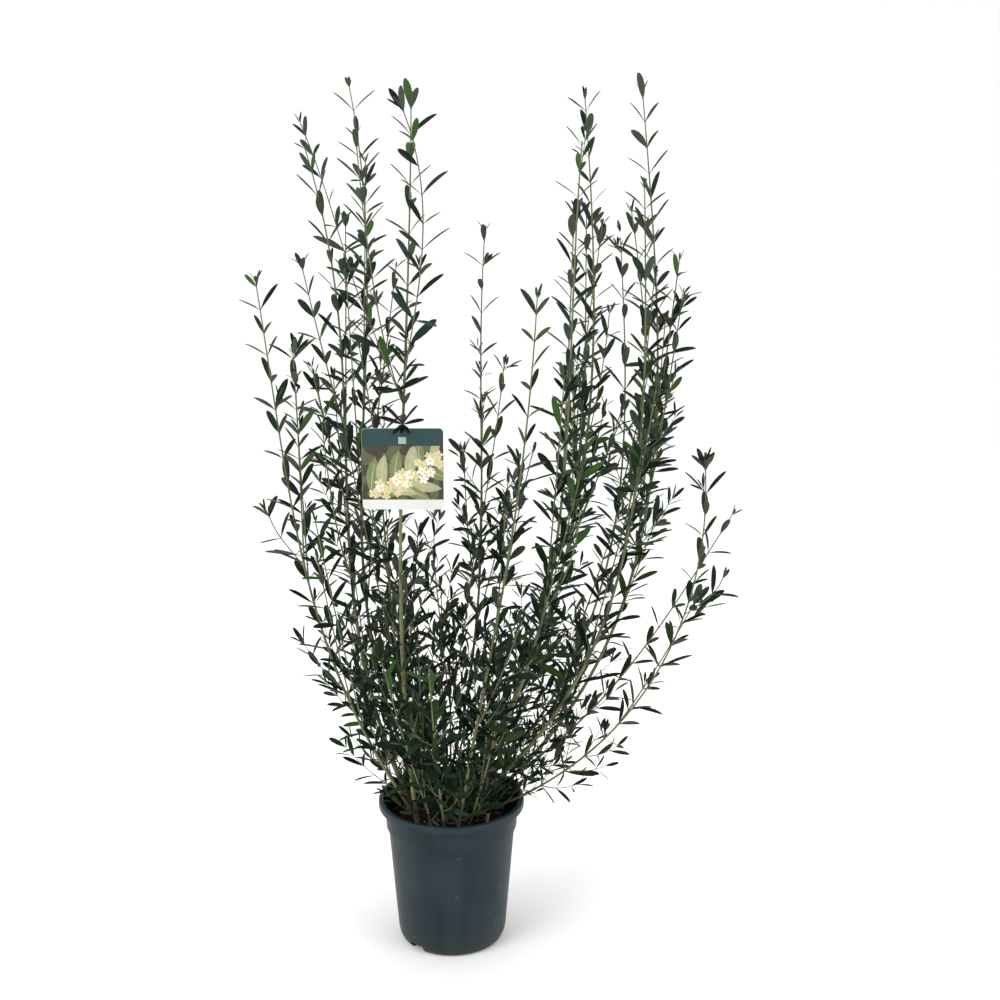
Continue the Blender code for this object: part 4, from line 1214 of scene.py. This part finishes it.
real = add(leaf_tree, "GeometryNodeSetMaterial",
           {"Geometry": real.outputs[0], "Selection": under.outputs["Attribute"],
            "Material": size["Lower Finish"]})
out = add(leaf_tree, "NodeGroupOutput", {"Geometry": real.outputs[0]})


def joint_points(name, chosen):
    """A mesh of loose points: one for each leaf, with its turn, its size and its pattern."""
    mesh = bpy.data.meshes.new(name)
    mesh.from_pydata([tuple(leaf.root) for leaf in chosen], [], [])
    turns = []
    sizes = []
    for leaf in chosen:
        across = leaf.face.cross(leaf.axis).normalized()
        frame_of_leaf = Matrix((leaf.axis, across, leaf.face)).transposed()
        turns += list(frame_of_leaf.to_euler())
        sizes += [leaf.length, leaf.width, leaf.length]
    mesh.attributes.new("turn", "FLOAT_VECTOR", "POINT").data.foreach_set("vector", turns)
    mesh.attributes.new("size", "FLOAT_VECTOR", "POINT").data.foreach_set("vector", sizes)
    shapes = [leaf.shape for leaf in chosen]
    mesh.attributes.new("shape", "INT", "POINT").data.foreach_set("value", shapes)
    return mesh


# %% Leaves of each tint
for tint, finish in LEAF_FINISHES.items():
    chosen = [leaf for leaf in leaves if leaf.tint == tint]
    made = run_tree(leaf_tree, "leaves_" + tint, joint_points("joints_" + tint, chosen), {
        "Patterns": leaf_patterns, "Upper Finish": finish, "Lower Finish": UNDERSIDE})
    place(made, "leaves_" + tint)
for pattern in list(leaf_patterns.objects):
    bpy.data.objects.remove(pattern)
bpy.data.collections.remove(leaf_patterns)

# %% [markdown]
# The pot is a turned shape, so one half of its section is drawn and spun. The lip is a folded
# tube, the band under it has two fine ledges, and the pot stands on a ring round its raised
# underside. Three drainage notches are then cut through that ring with Booleans.

# %% The pot's section
LIP_OUT = 0.1150
LIP_IN = 0.1070
LIP_DROP = 0.0125
COLLAR_OUT = (0.1053, 0.1034)     # its radius at the top and at the foot
COLLAR_DEEP = 0.034
LEDGE_GAP = 0.0060
WALL_OUT = 0.1008                 # under the collar
WALL_THICK = 0.0020
HEEL_OUT = 0.0860
HEEL_UP = 0.020
FOOT_OUT = 0.0740
RING_WIDE = 0.0045                # the foot ring that the pot stands on
UNDER_UP = 0.0085                 # the underside, raised inside the ring
FLOOR_UP = 0.0110
POT_TURNS = 144


def bow(start, end, corner, steps):
    """A rounded corner from start to end, drawn towards the given corner."""
    line = []
    for step in range(steps + 1):
        t = step / steps
        line.append(tuple((1 - t)**2 * a + 2 * t * (1 - t) * c + t * t * b
                          for a, b, c in zip(start, end, corner)))
    return line


collar_top = POT_RIM - LIP_DROP
collar_foot = collar_top - COLLAR_DEEP
ledge = collar_foot - LEDGE_GAP
lip_middle = (LIP_OUT + LIP_IN) / 2
outside = [(0, UNDER_UP), (FOOT_OUT - RING_WIDE - 0.001, UNDER_UP)]
outside += [(FOOT_OUT - RING_WIDE, 0.0006), (FOOT_OUT - RING_WIDE + 0.0006, 0.0)]
outside += bow((FOOT_OUT, 0.0), (HEEL_OUT, HEEL_UP), (HEEL_OUT - 0.003, 0.001), 8)
outside += [(WALL_OUT - 0.0012, ledge - 0.0006), (WALL_OUT, ledge),
            (WALL_OUT + 0.0002, ledge + 0.0010)]
outside += [(WALL_OUT + 0.0004, collar_foot), (COLLAR_OUT[1] - 0.0003, collar_foot),
            (COLLAR_OUT[1], collar_foot + 0.0004)]
outside += [(COLLAR_OUT[1] + 0.0001, collar_foot + 0.004), (COLLAR_OUT[0], collar_top + 0.0004)]
outside += bow((LIP_OUT - 0.0010, collar_top), (LIP_OUT, collar_top + 0.0012),
               (LIP_OUT, collar_top), 4)
outside += bow((LIP_OUT, POT_RIM - 0.0034), (lip_middle + 0.0008, POT_RIM),
               (LIP_OUT, POT_RIM), 6)
inside = bow((lip_middle - 0.0008, POT_RIM), (LIP_IN, POT_RIM - 0.0028),
             (LIP_IN, POT_RIM), 5)
inside += [(COLLAR_OUT[0] - WALL_THICK, collar_top - 0.001),
           (COLLAR_OUT[1] - WALL_THICK, collar_foot),
           (WALL_OUT - WALL_THICK, collar_foot - 0.004)]
inside += bow((HEEL_OUT - WALL_THICK, HEEL_UP), (FOOT_OUT - WALL_THICK, FLOOR_UP),
              (HEEL_OUT - WALL_THICK - 0.003, FLOOR_UP), 6)
inside += [(0, FLOOR_UP)]
print("points in the pot's section:", len(outside) + len(inside))

# %% Spin the section and cut the notches
NOTCH_WIDE = 0.027
NOTCH_TALL = 0.0125
NOTCH_COUNT = 3
NOTCH_HEADING = radians(228)


def spun(name, section, turns, start=0.0):
    """Turns a section, a list of (radius, height) that starts and ends on the axis."""
    bm = bmesh.new()
    rings = []
    for radius, height in section:
        if radius == 0:
            rings.append([bm.verts.new((0, 0, height))])
            continue
        rings.append([bm.verts.new((radius * cos(start + tau * turn / turns),
                                    radius * sin(start + tau * turn / turns), height))
                      for turn in range(turns)])
    for before, after in zip(rings, rings[1:]):
        join_rings(bm, before, after)
    bmesh.ops.recalc_face_normals(bm, faces=bm.faces)
    return finished(bm, name)


def block(name, size, where):
    bm = bmesh.new()
    bmesh.ops.create_cube(bm, size=1.0)
    bmesh.ops.scale(bm, vec=size, verts=bm.verts)
    bmesh.ops.transform(bm, matrix=where, verts=bm.verts)
    return bpy.data.objects.new(name, finished(bm, name))


def cut(mesh, cutters):
    """The mesh less all cutters, as a plain mesh."""
    host = bpy.data.objects.new(mesh.name, mesh)
    bpy.context.scene.collection.objects.link(host)
    for cutter in cutters:
        bpy.context.scene.collection.objects.link(cutter)
        step = host.modifiers.new(cutter.name, "BOOLEAN")
        step.operation = "DIFFERENCE"
        step.solver = "EXACT"
        step.object = cutter
    seen = host.evaluated_get(bpy.context.evaluated_depsgraph_get())
    made = bpy.data.meshes.new_from_object(seen)
    made.name = mesh.name
    for cutter in cutters:
        bpy.data.objects.remove(cutter)
    bpy.data.objects.remove(host)
    return made


notches = []
for index in range(NOTCH_COUNT):
    where = Matrix.Rotation(NOTCH_HEADING + tau * index / NOTCH_COUNT, 4, "Z")
    where = where @ Matrix.Translation((HEEL_OUT, 0, 0))
    notches.append(block(f"notch_{index}", (0.040, NOTCH_WIDE, 2 * NOTCH_TALL), where))
pot_mesh = cut(spun("pot_shell", outside + inside, POT_TURNS), notches)
pot_mesh.shade_smooth()
pot_mesh.set_sharp_from_angle(angle=radians(40))
print("pot:", len(pot_mesh.polygons), "faces after the cuts")

# %% [markdown]
# The plastic is slate blue and satin. Injection moulding leaves faint upright streaks, handling
# leaves dull patches and a few scuffs, and watering leaves a little dried dirt near the foot. The
# top of the lip is painted paler, a painted highlight where the light catches its roll. So the
# colour is mixed in steps: noise stretched tall, two mixes by height, and the peaks of another
# noise for the scuffs.

# %% Slate plastic
POT_BLUE = (0.0055, 0.0135, 0.018)
POT_PALE = (0.014, 0.026, 0.033)
# the paler blue of the lip's top is a painted highlight
POT_LIP_HIGHLIGHT = (0.015, 0.034, 0.043)
SCUFF = (0.110, 0.130, 0.135)
DRIED_DIRT = (0.062, 0.058, 0.048)
DIRT_HEIGHT = 0.050

slate = bpy.data.materials.new("slate_plastic")
slate.use_nodes = True
tree = slate.node_tree
shader = tree.nodes["Principled BSDF"]
spot = add(tree, "ShaderNodeTexCoord").outputs["Object"]
tall = add(tree, "ShaderNodeMapping", {"Vector": spot, "Scale": (1, 1, 0.06)}).outputs[0]
streaks = add(tree, "ShaderNodeTexNoise", {"Vector": tall, "Scale": 38.0, "Detail": 3.0})
patches = add(tree, "ShaderNodeTexNoise", {"Vector": spot, "Scale": 14.0, "Detail": 4.0})
both = add(tree, "ShaderNodeMath", {0: streaks.outputs["Fac"], 1: patches.outputs["Fac"]},
           operation="MULTIPLY")
sharper = add(tree, "ShaderNodeMapRange",
              {"Value": both.outputs[0], "From Min": 0.12, "From Max": 0.40})
body = add(tree, "ShaderNodeMix", {"Factor": sharper.outputs["Result"]}, data_type="RGBA")
body.inputs["A"].default_value = (*POT_BLUE, 1)
body.inputs["B"].default_value = (*POT_PALE, 1)
height = add(tree, "ShaderNodeSeparateXYZ", {0: spot}).outputs["Z"]
near_foot = add(tree, "ShaderNodeMapRange",
                {"Value": height, "From Min": DIRT_HEIGHT, "From Max": 0.0, "To Max": 0.55})
dirt = add(tree, "ShaderNodeMath",
           {0: near_foot.outputs["Result"], 1: patches.outputs["Fac"]}, operation="MULTIPLY")
worn = add(tree, "ShaderNodeMix", {"Factor": dirt.outputs[0]}, data_type="RGBA")
tree.links.new(body.outputs["Result"], worn.inputs["A"])
worn.inputs["B"].default_value = (*DRIED_DIRT, 1)
# Painted highlight: from the collar's top up to the rim, the lip is mixed towards a paler blue,
# where its roll catches the light.
lip_highlight_mask = add(tree, "ShaderNodeMapRange",
               {"Value": height, "From Min": POT_RIM - LIP_DROP, "From Max": POT_RIM,
                "To Max": 0.7})
lip = add(tree, "ShaderNodeMix", {"Factor": lip_highlight_mask.outputs["Result"]}, data_type="RGBA")
tree.links.new(worn.outputs["Result"], lip.inputs["A"])
lip.inputs["B"].default_value = (*POT_LIP_HIGHLIGHT, 1)
rubs = add(tree, "ShaderNodeTexNoise", {"Vector": spot, "Scale": 52.0, "Detail": 1.0})
rubbed = add(tree, "ShaderNodeMapRange",
             {"Value": rubs.outputs["Fac"], "From Min": 0.76, "From Max": 0.82, "To Max": 0.5})
scuffed = add(tree, "ShaderNodeMix", {"Factor": rubbed.outputs["Result"]}, data_type="RGBA")
tree.links.new(lip.outputs["Result"], scuffed.inputs["A"])
scuffed.inputs["B"].default_value = (*SCUFF, 1)
tree.links.new(scuffed.outputs["Result"], shader.inputs["Base Color"])
gloss = add(tree, "ShaderNodeMapRange",
            {"Value": patches.outputs["Fac"], "To Min": 0.34, "To Max": 0.52})
tree.links.new(gloss.outputs["Result"], shader.inputs["Roughness"])
grainy = add(tree, "ShaderNodeTexNoise", {"Vector": spot, "Scale": 900.0})
relief = add(tree, "ShaderNodeBump", {"Height": grainy.outputs["Fac"], "Strength": 0.12,
                                      "Distance": 0.0002})
tree.links.new(relief.outputs["Normal"], shader.inputs["Normal"])
shader.inputs["Specular IOR Level"].default_value = 0.18
pot_mesh.materials.clear()
pot_mesh.materials.append(slate)
place(pot_mesh, "pot_moulded", ["pot"])

# %% [markdown]
# Potting soil is a bed with humps, and on it lie crumbs, white grains of perlite and bits of
# fibre. The bed is one closed shape, made uneven by noise. One Geometry Nodes tree scatters
# small things on it, and is run once for each kind.

# %% The bed of soil
BED_RINGS = 34
BED_TURNS = 132
BED_EDGE = 0.0984
BED_HUMP = 0.0034
BED_DIP = 0.0060                  # the worn edge along the wall
BED_WORN = 0.82                   # of the bed's radius, where the worn edge starts
BED_LOW = 0.0012                  # how far the bed's middle lies under the solid's top
BED_SIDE = (0.0960, 0.185)        # radius and height of a place on the bed's side
BED_GRAINS = (42, 130)            # coarse and fine humps to the metre
FINE_HUMPS = 0.6                  # of the coarse ones' height
BED_GAP = 0.0006                  # over the pot's floor
BED_INSET = 0.0040                # from the pot's outer radius

soil_finish = mottled("soil_dark", ((0.003, 0.0025, 0.002), (0.008, 0.006, 0.0045)), 0.007,
                      0.0011, 0.9, (0.85, 1.0), 0.2)
crumb_finish = mottled("soil_crumbs", ((0.003, 0.0025, 0.002), (0.011, 0.0085, 0.0065)), 0.006,
                       0.0008, 0.8, (0.80, 1.0), 0.2)
perlite_finish = mottled("perlite", ((0.42, 0.40, 0.36), (0.66, 0.64, 0.60)), 0.002,
                         0.0006, 0.5, (0.8, 0.95), 0.2)
fibre_finish = mottled("fibre", ((0.075, 0.050, 0.028), (0.170, 0.115, 0.065)), 0.006,
                       0.0006, 0.5, (0.7, 0.9), 0.2)


def bed_height(x, y):
    spread = sqrt(x * x + y * y) / BED_EDGE
    coarse = noise.noise(Vector((x, y, 0.3)) * BED_GRAINS[0])
    finer = noise.noise(Vector((x, y, 0.8)) * BED_GRAINS[1])
    worn = max(spread - BED_WORN, 0) / (1 - BED_WORN)
    humps = BED_HUMP / 2 * (coarse + FINE_HUMPS * finer)
    return SOIL_TOP - BED_LOW + humps - BED_DIP * worn


bed_section = [(0, FLOOR_UP + BED_GAP), (FOOT_OUT - BED_INSET, FLOOR_UP + BED_GAP)]
bed_section += [(HEEL_OUT - BED_INSET, HEEL_UP), BED_SIDE, (BED_EDGE, SOIL_TOP - BED_DIP)]
for index in range(1, BED_RINGS):
    bed_section.append((BED_EDGE * (1 - index / BED_RINGS), SOIL_TOP))
bed_section.append((0, SOIL_TOP))
bed = spun("soil_bed", bed_section, BED_TURNS)
for vert in bed.vertices:
    if vert.co.z > SOIL_TOP - BED_DIP - 0.0001:
        vert.co.z = bed_height(vert.co.x, vert.co.y)
bed.shade_smooth()
bed.materials.append(soil_finish)
place(bed, "soil_bed", ["soil"])

# %% The tree that scatters things on the bed
scatter_tree, size = new_tree("scatter", {
    "Pattern": "Object", "Per Square Metre": "Float", "Seed": "Int", "Edge": "Float",
    "Smallest": "Float", "Largest": "Float", "Sink": "Float", "Finish": "Material"})
spot = add(scatter_tree, "GeometryNodeInputPosition").outputs[0]
flat = add(scatter_tree, "ShaderNodeVectorMath", {0: spot, 1: (1, 1, 0)}, operation="MULTIPLY")
away = add(scatter_tree, "ShaderNodeVectorMath", {0: flat.outputs[0]}, operation="LENGTH")
within = add(scatter_tree, "FunctionNodeCompare", {"A": away.outputs["Value"], "B": size["Edge"]},
             data_type="FLOAT", operation="LESS_THAN")
up = add(scatter_tree, "ShaderNodeSeparateXYZ",
         {0: add(scatter_tree, "GeometryNodeInputNormal").outputs[0]}).outputs["Z"]
facing = add(scatter_tree, "FunctionNodeCompare", {"A": up, "B": 0.3},
             data_type="FLOAT", operation="GREATER_THAN")
chosen = add(scatter_tree, "FunctionNodeBooleanMath",
             {0: within.outputs[0], 1: facing.outputs[0]}, operation="AND")
dots = add(scatter_tree, "GeometryNodeDistributePointsOnFaces",
           {"Mesh": size["Geometry"], "Selection": chosen.outputs[0],
            "Density": size["Per Square Metre"], "Seed": size["Seed"]})
pattern = add(scatter_tree, "GeometryNodeObjectInfo", {"Object": size["Pattern"]})
turn = add(scatter_tree, "FunctionNodeRandomValue", {"Max": (6.28, 6.28, 6.28), "Seed": 3},
           data_type="FLOAT_VECTOR")
swell = add(scatter_tree, "FunctionNodeRandomValue",
            {2: size["Smallest"], 3: size["Largest"], "Seed": 5}, data_type="FLOAT")
hung = add(scatter_tree, "GeometryNodeInstanceOnPoints",
           {"Points": dots.outputs["Points"], "Instance": pattern.outputs["Geometry"],
            "Rotation": turn.outputs[0], "Scale": swell.outputs[1]})
real = add(scatter_tree, "GeometryNodeRealizeInstances", {"Geometry": hung.outputs[0]})
drop = add(scatter_tree, "ShaderNodeCombineXYZ", {"Z": size["Sink"]})
real = add(scatter_tree, "GeometryNodeSetPosition",
           {"Geometry": real.outputs[0], "Offset": drop.outputs[0]})
real = add(scatter_tree, "GeometryNodeSetMaterial",
           {"Geometry": real.outputs[0], "Material": size["Finish"]})
out = add(scatter_tree, "NodeGroupOutput", {"Geometry": real.outputs[0]})

# %% Crumbs, perlite and fibres


def lump(name, detail, roughness, seed):
    """A small uneven lump of size one."""
    bm = bmesh.new()
    bmesh.ops.create_icosphere(bm, subdivisions=detail, radius=0.5)
    for vert in bm.verts:
        vert.co *= 1 + roughness * noise.noise(vert.co * 3 + Vector((seed, 0, 0)))
        vert.co.z *= 0.75
    return bpy.data.objects.new(name, finished(bm, name))


def strand(name):
    """A thin bent strand of length one, three-sided."""
    bm = bmesh.new()
    rings = []
    for step in range(6):
        t = step / 5
        middle = Vector((t - 0.5, 0.18 * sin(3.1 * t), 0.10 * sin(5.2 * t)))
        thick = 0.020 + 0.012 * sin(pi * t)
        rings.append([bm.verts.new(middle + Vector((0, cos(angle), sin(angle))) * thick)
                      for angle in (0, tau / 3, 2 * tau / 3)])
    for before, after in zip(rings, rings[1:]):
        join_rings(bm, before, after)
    bm.faces.new(rings[0])
    bm.faces.new(rings[-1])
    bmesh.ops.recalc_face_normals(bm, faces=bm.faces)
    return bpy.data.objects.new(name, finished(bm, name))


SCATTERED = (
    # name, pattern, number per square metre, edge, smallest, largest, sink, finish
    ("crumbs", lump("crumb", 1, 0.9, 2.0), 90000, 0.0935, 0.0014, 0.0052, -0.0003, crumb_finish),
    ("perlite", lump("grain", 1, 0.6, 7.0), 1300, 0.0925, 0.0012, 0.0034, 0.0002, perlite_finish),
    ("fibres", strand("strand"), 6500, 0.0860, 0.0060, 0.0170, 0.0012, fibre_finish),
)
for index, (name, thing, number, edge, least, most, sink, finish) in enumerate(SCATTERED):
    bpy.context.scene.collection.objects.link(thing)
    made = run_tree(scatter_tree, name, bed.copy(), {
        "Pattern": thing, "Per Square Metre": float(number), "Seed": 11 + index, "Edge": edge,
        "Smallest": least, "Largest": most, "Sink": sink, "Finish": finish})
    bpy.data.objects.remove(thing)
    made.shade_flat()
    place(made, "soil_" + name)

# %% [markdown]
# The label is a plastic card on a strap, and both keep their imported shapes. Its print is a set
# of thin layers of ink, a twentieth of a millimetre each, and within a layer each shape lies a
# micron over the one before. The picture is a design of its own: a slanting sprig with
# five-lobed cream flowers and rounded leaves on a dark ground. One pale layer is not print but a
# painted highlight: two thin arcs where the edge of a half-round die-cut flap catches the light.

# %% The card's inks
card_low, card_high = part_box("label_card")
strap_low, strap_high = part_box("label_strap")
CARD_MARGIN = 0.0002
INK = 0.00005
INK_STEP = 0.000001               # each shape lies this much over the one before
INK_SUNK = INK / 4                # how far ink reaches into what lies under it
WHITE_STRIP = 0.0150
TEAL_BAND = 0.0260

white_card = mottled("white_plastic", ((0.58, 0.59, 0.57), (0.64, 0.65, 0.63)), 0.02,
                     0.0010, 0.06, (0.30, 0.40), 0.5)
mint_strap = mottled("mint_plastic", ((0.22, 0.35, 0.28), (0.30, 0.43, 0.36)), 0.006,
                     0.0008, 0.10, (0.35, 0.45), 0.5)
INK_COLORS = {
    # from the card outwards
    "teal": ((0.014, 0.038, 0.042), (0.026, 0.060, 0.062)),
    # not print but a painted highlight, where the edge of a die-cut flap catches the light
    "arc": ((0.060, 0.105, 0.100), (0.110, 0.160, 0.150)),
    "ground": ((0.022, 0.026, 0.015), (0.070, 0.060, 0.036)),
    "far_leaf": ((0.060, 0.070, 0.034), (0.130, 0.132, 0.070)),
    "leaf": ((0.110, 0.140, 0.052), (0.220, 0.245, 0.110)),
    "pale_leaf": ((0.250, 0.262, 0.130), (0.430, 0.425, 0.260)),
    "rib": ((0.380, 0.400, 0.240), (0.460, 0.470, 0.300)),
    "cream": ((0.500, 0.430, 0.220), (0.660, 0.600, 0.370)),
    "ivory": ((0.720, 0.690, 0.540), (0.840, 0.820, 0.700)),
    "honey": ((0.480, 0.290, 0.080), (0.640, 0.420, 0.150)),
}
INKS = {ink: mottled("ink_" + ink, colors, 0.006, 0.0009, 0.05, (0.30, 0.40), 0.25)
        for ink, colors in INK_COLORS.items()}
for node, finish in (("label_card", white_card), ("label_strap", mint_strap)):
    frame["nodes"][node].data.materials.clear()
    frame["nodes"][node].data.materials.append(finish)

# %% Shapes of the print
CARD_CORNER = 0.0060
PRINT_LEFT = card_low.x + CARD_MARGIN
PRINT_RIGHT = card_high.x - CARD_MARGIN
PRINT_TOP = card_high.z - CARD_MARGIN
PICTURE_FOOT = card_low.z + WHITE_STRIP
PICTURE_TOP = PRINT_TOP - TEAL_BAND
CARD_X = (card_low.x + card_high.x) / 2
PICTURE_INSET = 0.0004            # from the print's sides to what is drawn


def ink_layer(shapes, depth, ink, name):
    """Thin closed plates with the given outlines, x and z, at a depth of ink above the card."""
    bm = bmesh.new()
    for index, outline in enumerate(shapes):
        ahead = outline[1:] + outline[:1]
        if sum(x * next_z - next_x * z for (x, z), (next_x, next_z) in zip(outline, ahead)) < 0:
            outline = outline[::-1]
        front = card_low.y - depth - index * INK_STEP - INK
        under = [bm.verts.new((x, front + INK + INK_SUNK, z)) for x, z in outline]
        over = [bm.verts.new((x, front, z)) for x, z in outline]
        join_rings(bm, under, over)
        bm.faces.new(under[::-1])
        bm.faces.new(over)
    mesh = finished(bm, name)
    mesh.materials.append(INKS[ink])
    return mesh


def on_picture(along, up):
    """The place on the card that lies so far along and up its picture, from 0 to 1."""
    return (PRINT_LEFT + along * (PRINT_RIGHT - PRINT_LEFT),
            PICTURE_FOOT + up * (PICTURE_TOP - PICTURE_FOOT))


def print_leaf(x, z, length, width, heading, bend=0.0):
    """A leaf's outline from its root at x, z. The heading is in degrees, the bend in widths."""
    ahead = Vector((cos(radians(heading)), sin(radians(heading))))
    beside = Vector((-ahead.y, ahead.x))
    outline = []
    for side in (1, -1):
        for step in range(8):
            t = step / 8 if side == 1 else 1 - step / 8
            sway = bend * width * sin(pi * t)
            half = side * width / 2 * sin(pi * t) ** 0.8
            point = ahead * (t * length) + beside * (half + sway)
            outline.append((x + point.x, z + point.y))
    return outline


def in_picture(outline):
    """The outline, with what would pass the picture's edges drawn in to them."""
    left = PRINT_LEFT + PICTURE_INSET
    right = PRINT_RIGHT - PICTURE_INSET
    drawn = []
    for x, z in outline:
        spot = (min(max(x, left), right), min(max(z, PICTURE_FOOT + CARD_MARGIN), PICTURE_TOP))
        if spot not in drawn:
            drawn.append(spot)
    return drawn


def disc(x, z, radius, sides=12):
    return [(x + radius * cos(tau * k / sides), z + radius * sin(tau * k / sides))
            for k in range(sides)]


def corner_arc(x, z, start, steps=6):
    """A quarter of the card's rounded corner, about x and z, from a start in degrees."""
    return [(x + CARD_CORNER * cos(radians(start + 90 * step / steps)),
             z + CARD_CORNER * sin(radians(start + 90 * step / steps)))
            for step in range(steps + 1)]

# %% [markdown]
# The sprig is drawn by a rule too: one slanting twig, with a pair of leaves and a bunch of
# blossoms at each joint. Dim leaves behind it give the picture some depth.

# %% The printed sprig
TWIG_START = (0.06, 0.10)
TWIG_END = (0.97, 0.80)
TWIG_SAG = 0.10
TWIG_JOINTS = 6
TWIG_HALF = 0.0004
FAR_LEAVES = 26
FAR_LENGTH = (0.034, 0.054)
NEAR_LENGTH = (0.040, 0.056)
NEAR_SPREAD = (38, 62)            # degrees to each side of the twig
TWIG_HEADING = 38
BUNCH = 9                         # blossoms at a joint
BUNCH_REACH = (0.002, 0.0155)
PRINT_SEED = 5
BLOSSOM = (0.0056, 0.0082)        # radius of a blossom
PETALS = 5
LOBE_STEPS = 6
LOBE_NOTCH = 0.45                 # how deep the outline goes in between petals

ink_chance = Random(PRINT_SEED)
shapes = {ink: [] for ink in INK_COLORS}


def twig_point(t):
    along = TWIG_START[0] + (TWIG_END[0] - TWIG_START[0]) * t
    up = TWIG_START[1] + (TWIG_END[1] - TWIG_START[1]) * t - TWIG_SAG * sin(pi * t)
    return along, up


def print_one_leaf(along, up, length, heading, ink):
    """A leaf, and a fine rib along it."""
    x, z = on_picture(along, up)
    width = length * ink_chance.uniform(0.27, 0.34)
    bend = ink_chance.uniform(-0.35, 0.35)
    shapes[ink].append(in_picture(print_leaf(x, z, length, width, heading, bend)))
    if ink != "far_leaf":
        rib = print_leaf(x, z, length * 0.92, width * 0.07, heading, bend * 14)
        shapes["rib"].append(in_picture(rib))


def print_blossom(x, z, radius):
    """One outline with five lobes, and a dot in its middle."""
    turn = ink_chance.uniform(0, tau)
    outline = []
    for step in range(PETALS * LOBE_STEPS):
        heading = tau * step / (PETALS * LOBE_STEPS)
        lobe = abs(cos(heading * PETALS / 2)) ** 0.7
        reach = radius * (LOBE_NOTCH + (1 - LOBE_NOTCH) * lobe)
        outline.append((x + reach * cos(heading + turn), z + reach * sin(heading + turn)))
    ink = "cream" if ink_chance.random() < 0.7 else "ivory"
    shapes[ink].append(in_picture(outline))
    shapes["honey"].append(in_picture(disc(x, z, radius * 0.20)))


for index in range(FAR_LEAVES):
    print_one_leaf(ink_chance.uniform(0.05, 0.95), ink_chance.uniform(0.05, 0.9),
                   ink_chance.uniform(*FAR_LENGTH), ink_chance.uniform(0, 360), "far_leaf")
for index in range(TWIG_JOINTS):
    t = (index + 0.3) / TWIG_JOINTS
    along, up = twig_point(t)
    for side in (1, -1):
        heading = TWIG_HEADING + side * ink_chance.uniform(*NEAR_SPREAD)
        ink = "pale_leaf" if (index + side) % 2 == 0 else "leaf"
        print_one_leaf(along, up, ink_chance.uniform(*NEAR_LENGTH), heading, ink)
for index in range(1, TWIG_JOINTS):
    along, up = twig_point((index + 0.3) / TWIG_JOINTS)
    x, z = on_picture(along, up)
    for bud in range(BUNCH):
        way = ink_chance.uniform(0, tau)
        reach = ink_chance.uniform(*BUNCH_REACH)
        print_blossom(x + reach * cos(way), z + reach * sin(way), ink_chance.uniform(*BLOSSOM))
middle_line = [on_picture(*twig_point(step / 10)) for step in range(11)]
shapes["rib"].append([(x, z + TWIG_HALF) for x, z in middle_line] +
                     [(x, z - TWIG_HALF) for x, z in reversed(middle_line)])
print("printed shapes:", {ink: len(group) for ink, group in shapes.items() if group})

# %% The band, the ground and the layers in order
SLOT_OUT = 0.0003                 # a slot's outer edge past the strap
SLOT_IN = 0.0008                  # and its inner edge short of it
SLOT_ENDS = 0.0004
slot_left = strap_low.x - SLOT_OUT
slot_right = strap_high.x + SLOT_OUT
slot_low = strap_low.z - SLOT_ENDS
slot_high = strap_high.z + SLOT_ENDS
HIGHLIGHT_ARC_RADIUS = 0.0125
HIGHLIGHT_ARC_WIDTH = 0.0009


def box_outline(left, right, low, high):
    return [(left, low), (right, low), (right, high), (left, high)]


left_corner = corner_arc(PRINT_LEFT + CARD_CORNER, PRINT_TOP - CARD_CORNER, 90)
right_corner = corner_arc(PRINT_RIGHT - CARD_CORNER, PRINT_TOP - CARD_CORNER, 0)
shapes["teal"] = [
    [(slot_left, PRINT_TOP)] + left_corner + [(PRINT_LEFT, PICTURE_TOP), (slot_left, PICTURE_TOP)],
    ([(slot_right, PICTURE_TOP), (PRINT_RIGHT, PICTURE_TOP)] + right_corner +
     [(slot_right, PRINT_TOP)]),
    box_outline(slot_left, slot_right, slot_high, PRINT_TOP),
    box_outline(strap_low.x + SLOT_IN, strap_high.x - SLOT_IN, slot_low, slot_high),
    box_outline(slot_left, slot_right, PICTURE_TOP, slot_low),
]
shapes["ground"] = [box_outline(PRINT_LEFT, PRINT_RIGHT, PICTURE_FOOT, PICTURE_TOP)]
# Two thin pale arcs at the card's top middle: a painted highlight along the outline of a half-round
# die-cut flap, laid as a layer of ink.
for start, end in ((198, 238), (302, 342)):
    headings = [radians(start + (end - start) * step / 8) for step in range(9)]
    inner = [(CARD_X + HIGHLIGHT_ARC_RADIUS * cos(h), PRINT_TOP + HIGHLIGHT_ARC_RADIUS * 0.25 + HIGHLIGHT_ARC_RADIUS * sin(h))
             for h in headings]
    outer = [(x + HIGHLIGHT_ARC_WIDTH * cos(h), z + HIGHLIGHT_ARC_WIDTH * sin(h)) for (x, z), h in zip(inner, headings)]
    shapes["arc"].append([(x, min(z, PRINT_TOP - CARD_MARGIN)) for x, z in inner + outer[::-1]])
depth = 0.0
for ink in INK_COLORS:
    place(ink_layer(shapes[ink], depth, ink, "print_" + ink), "print_" + ink)
    depth += INK + len(shapes[ink]) * INK_STEP
print("ink in all:", round(depth * 1000, 3), "mm")

# %% Sizes of the imported model
print("packed:", [round(value, 4) for corner in cad_box for value in corner])
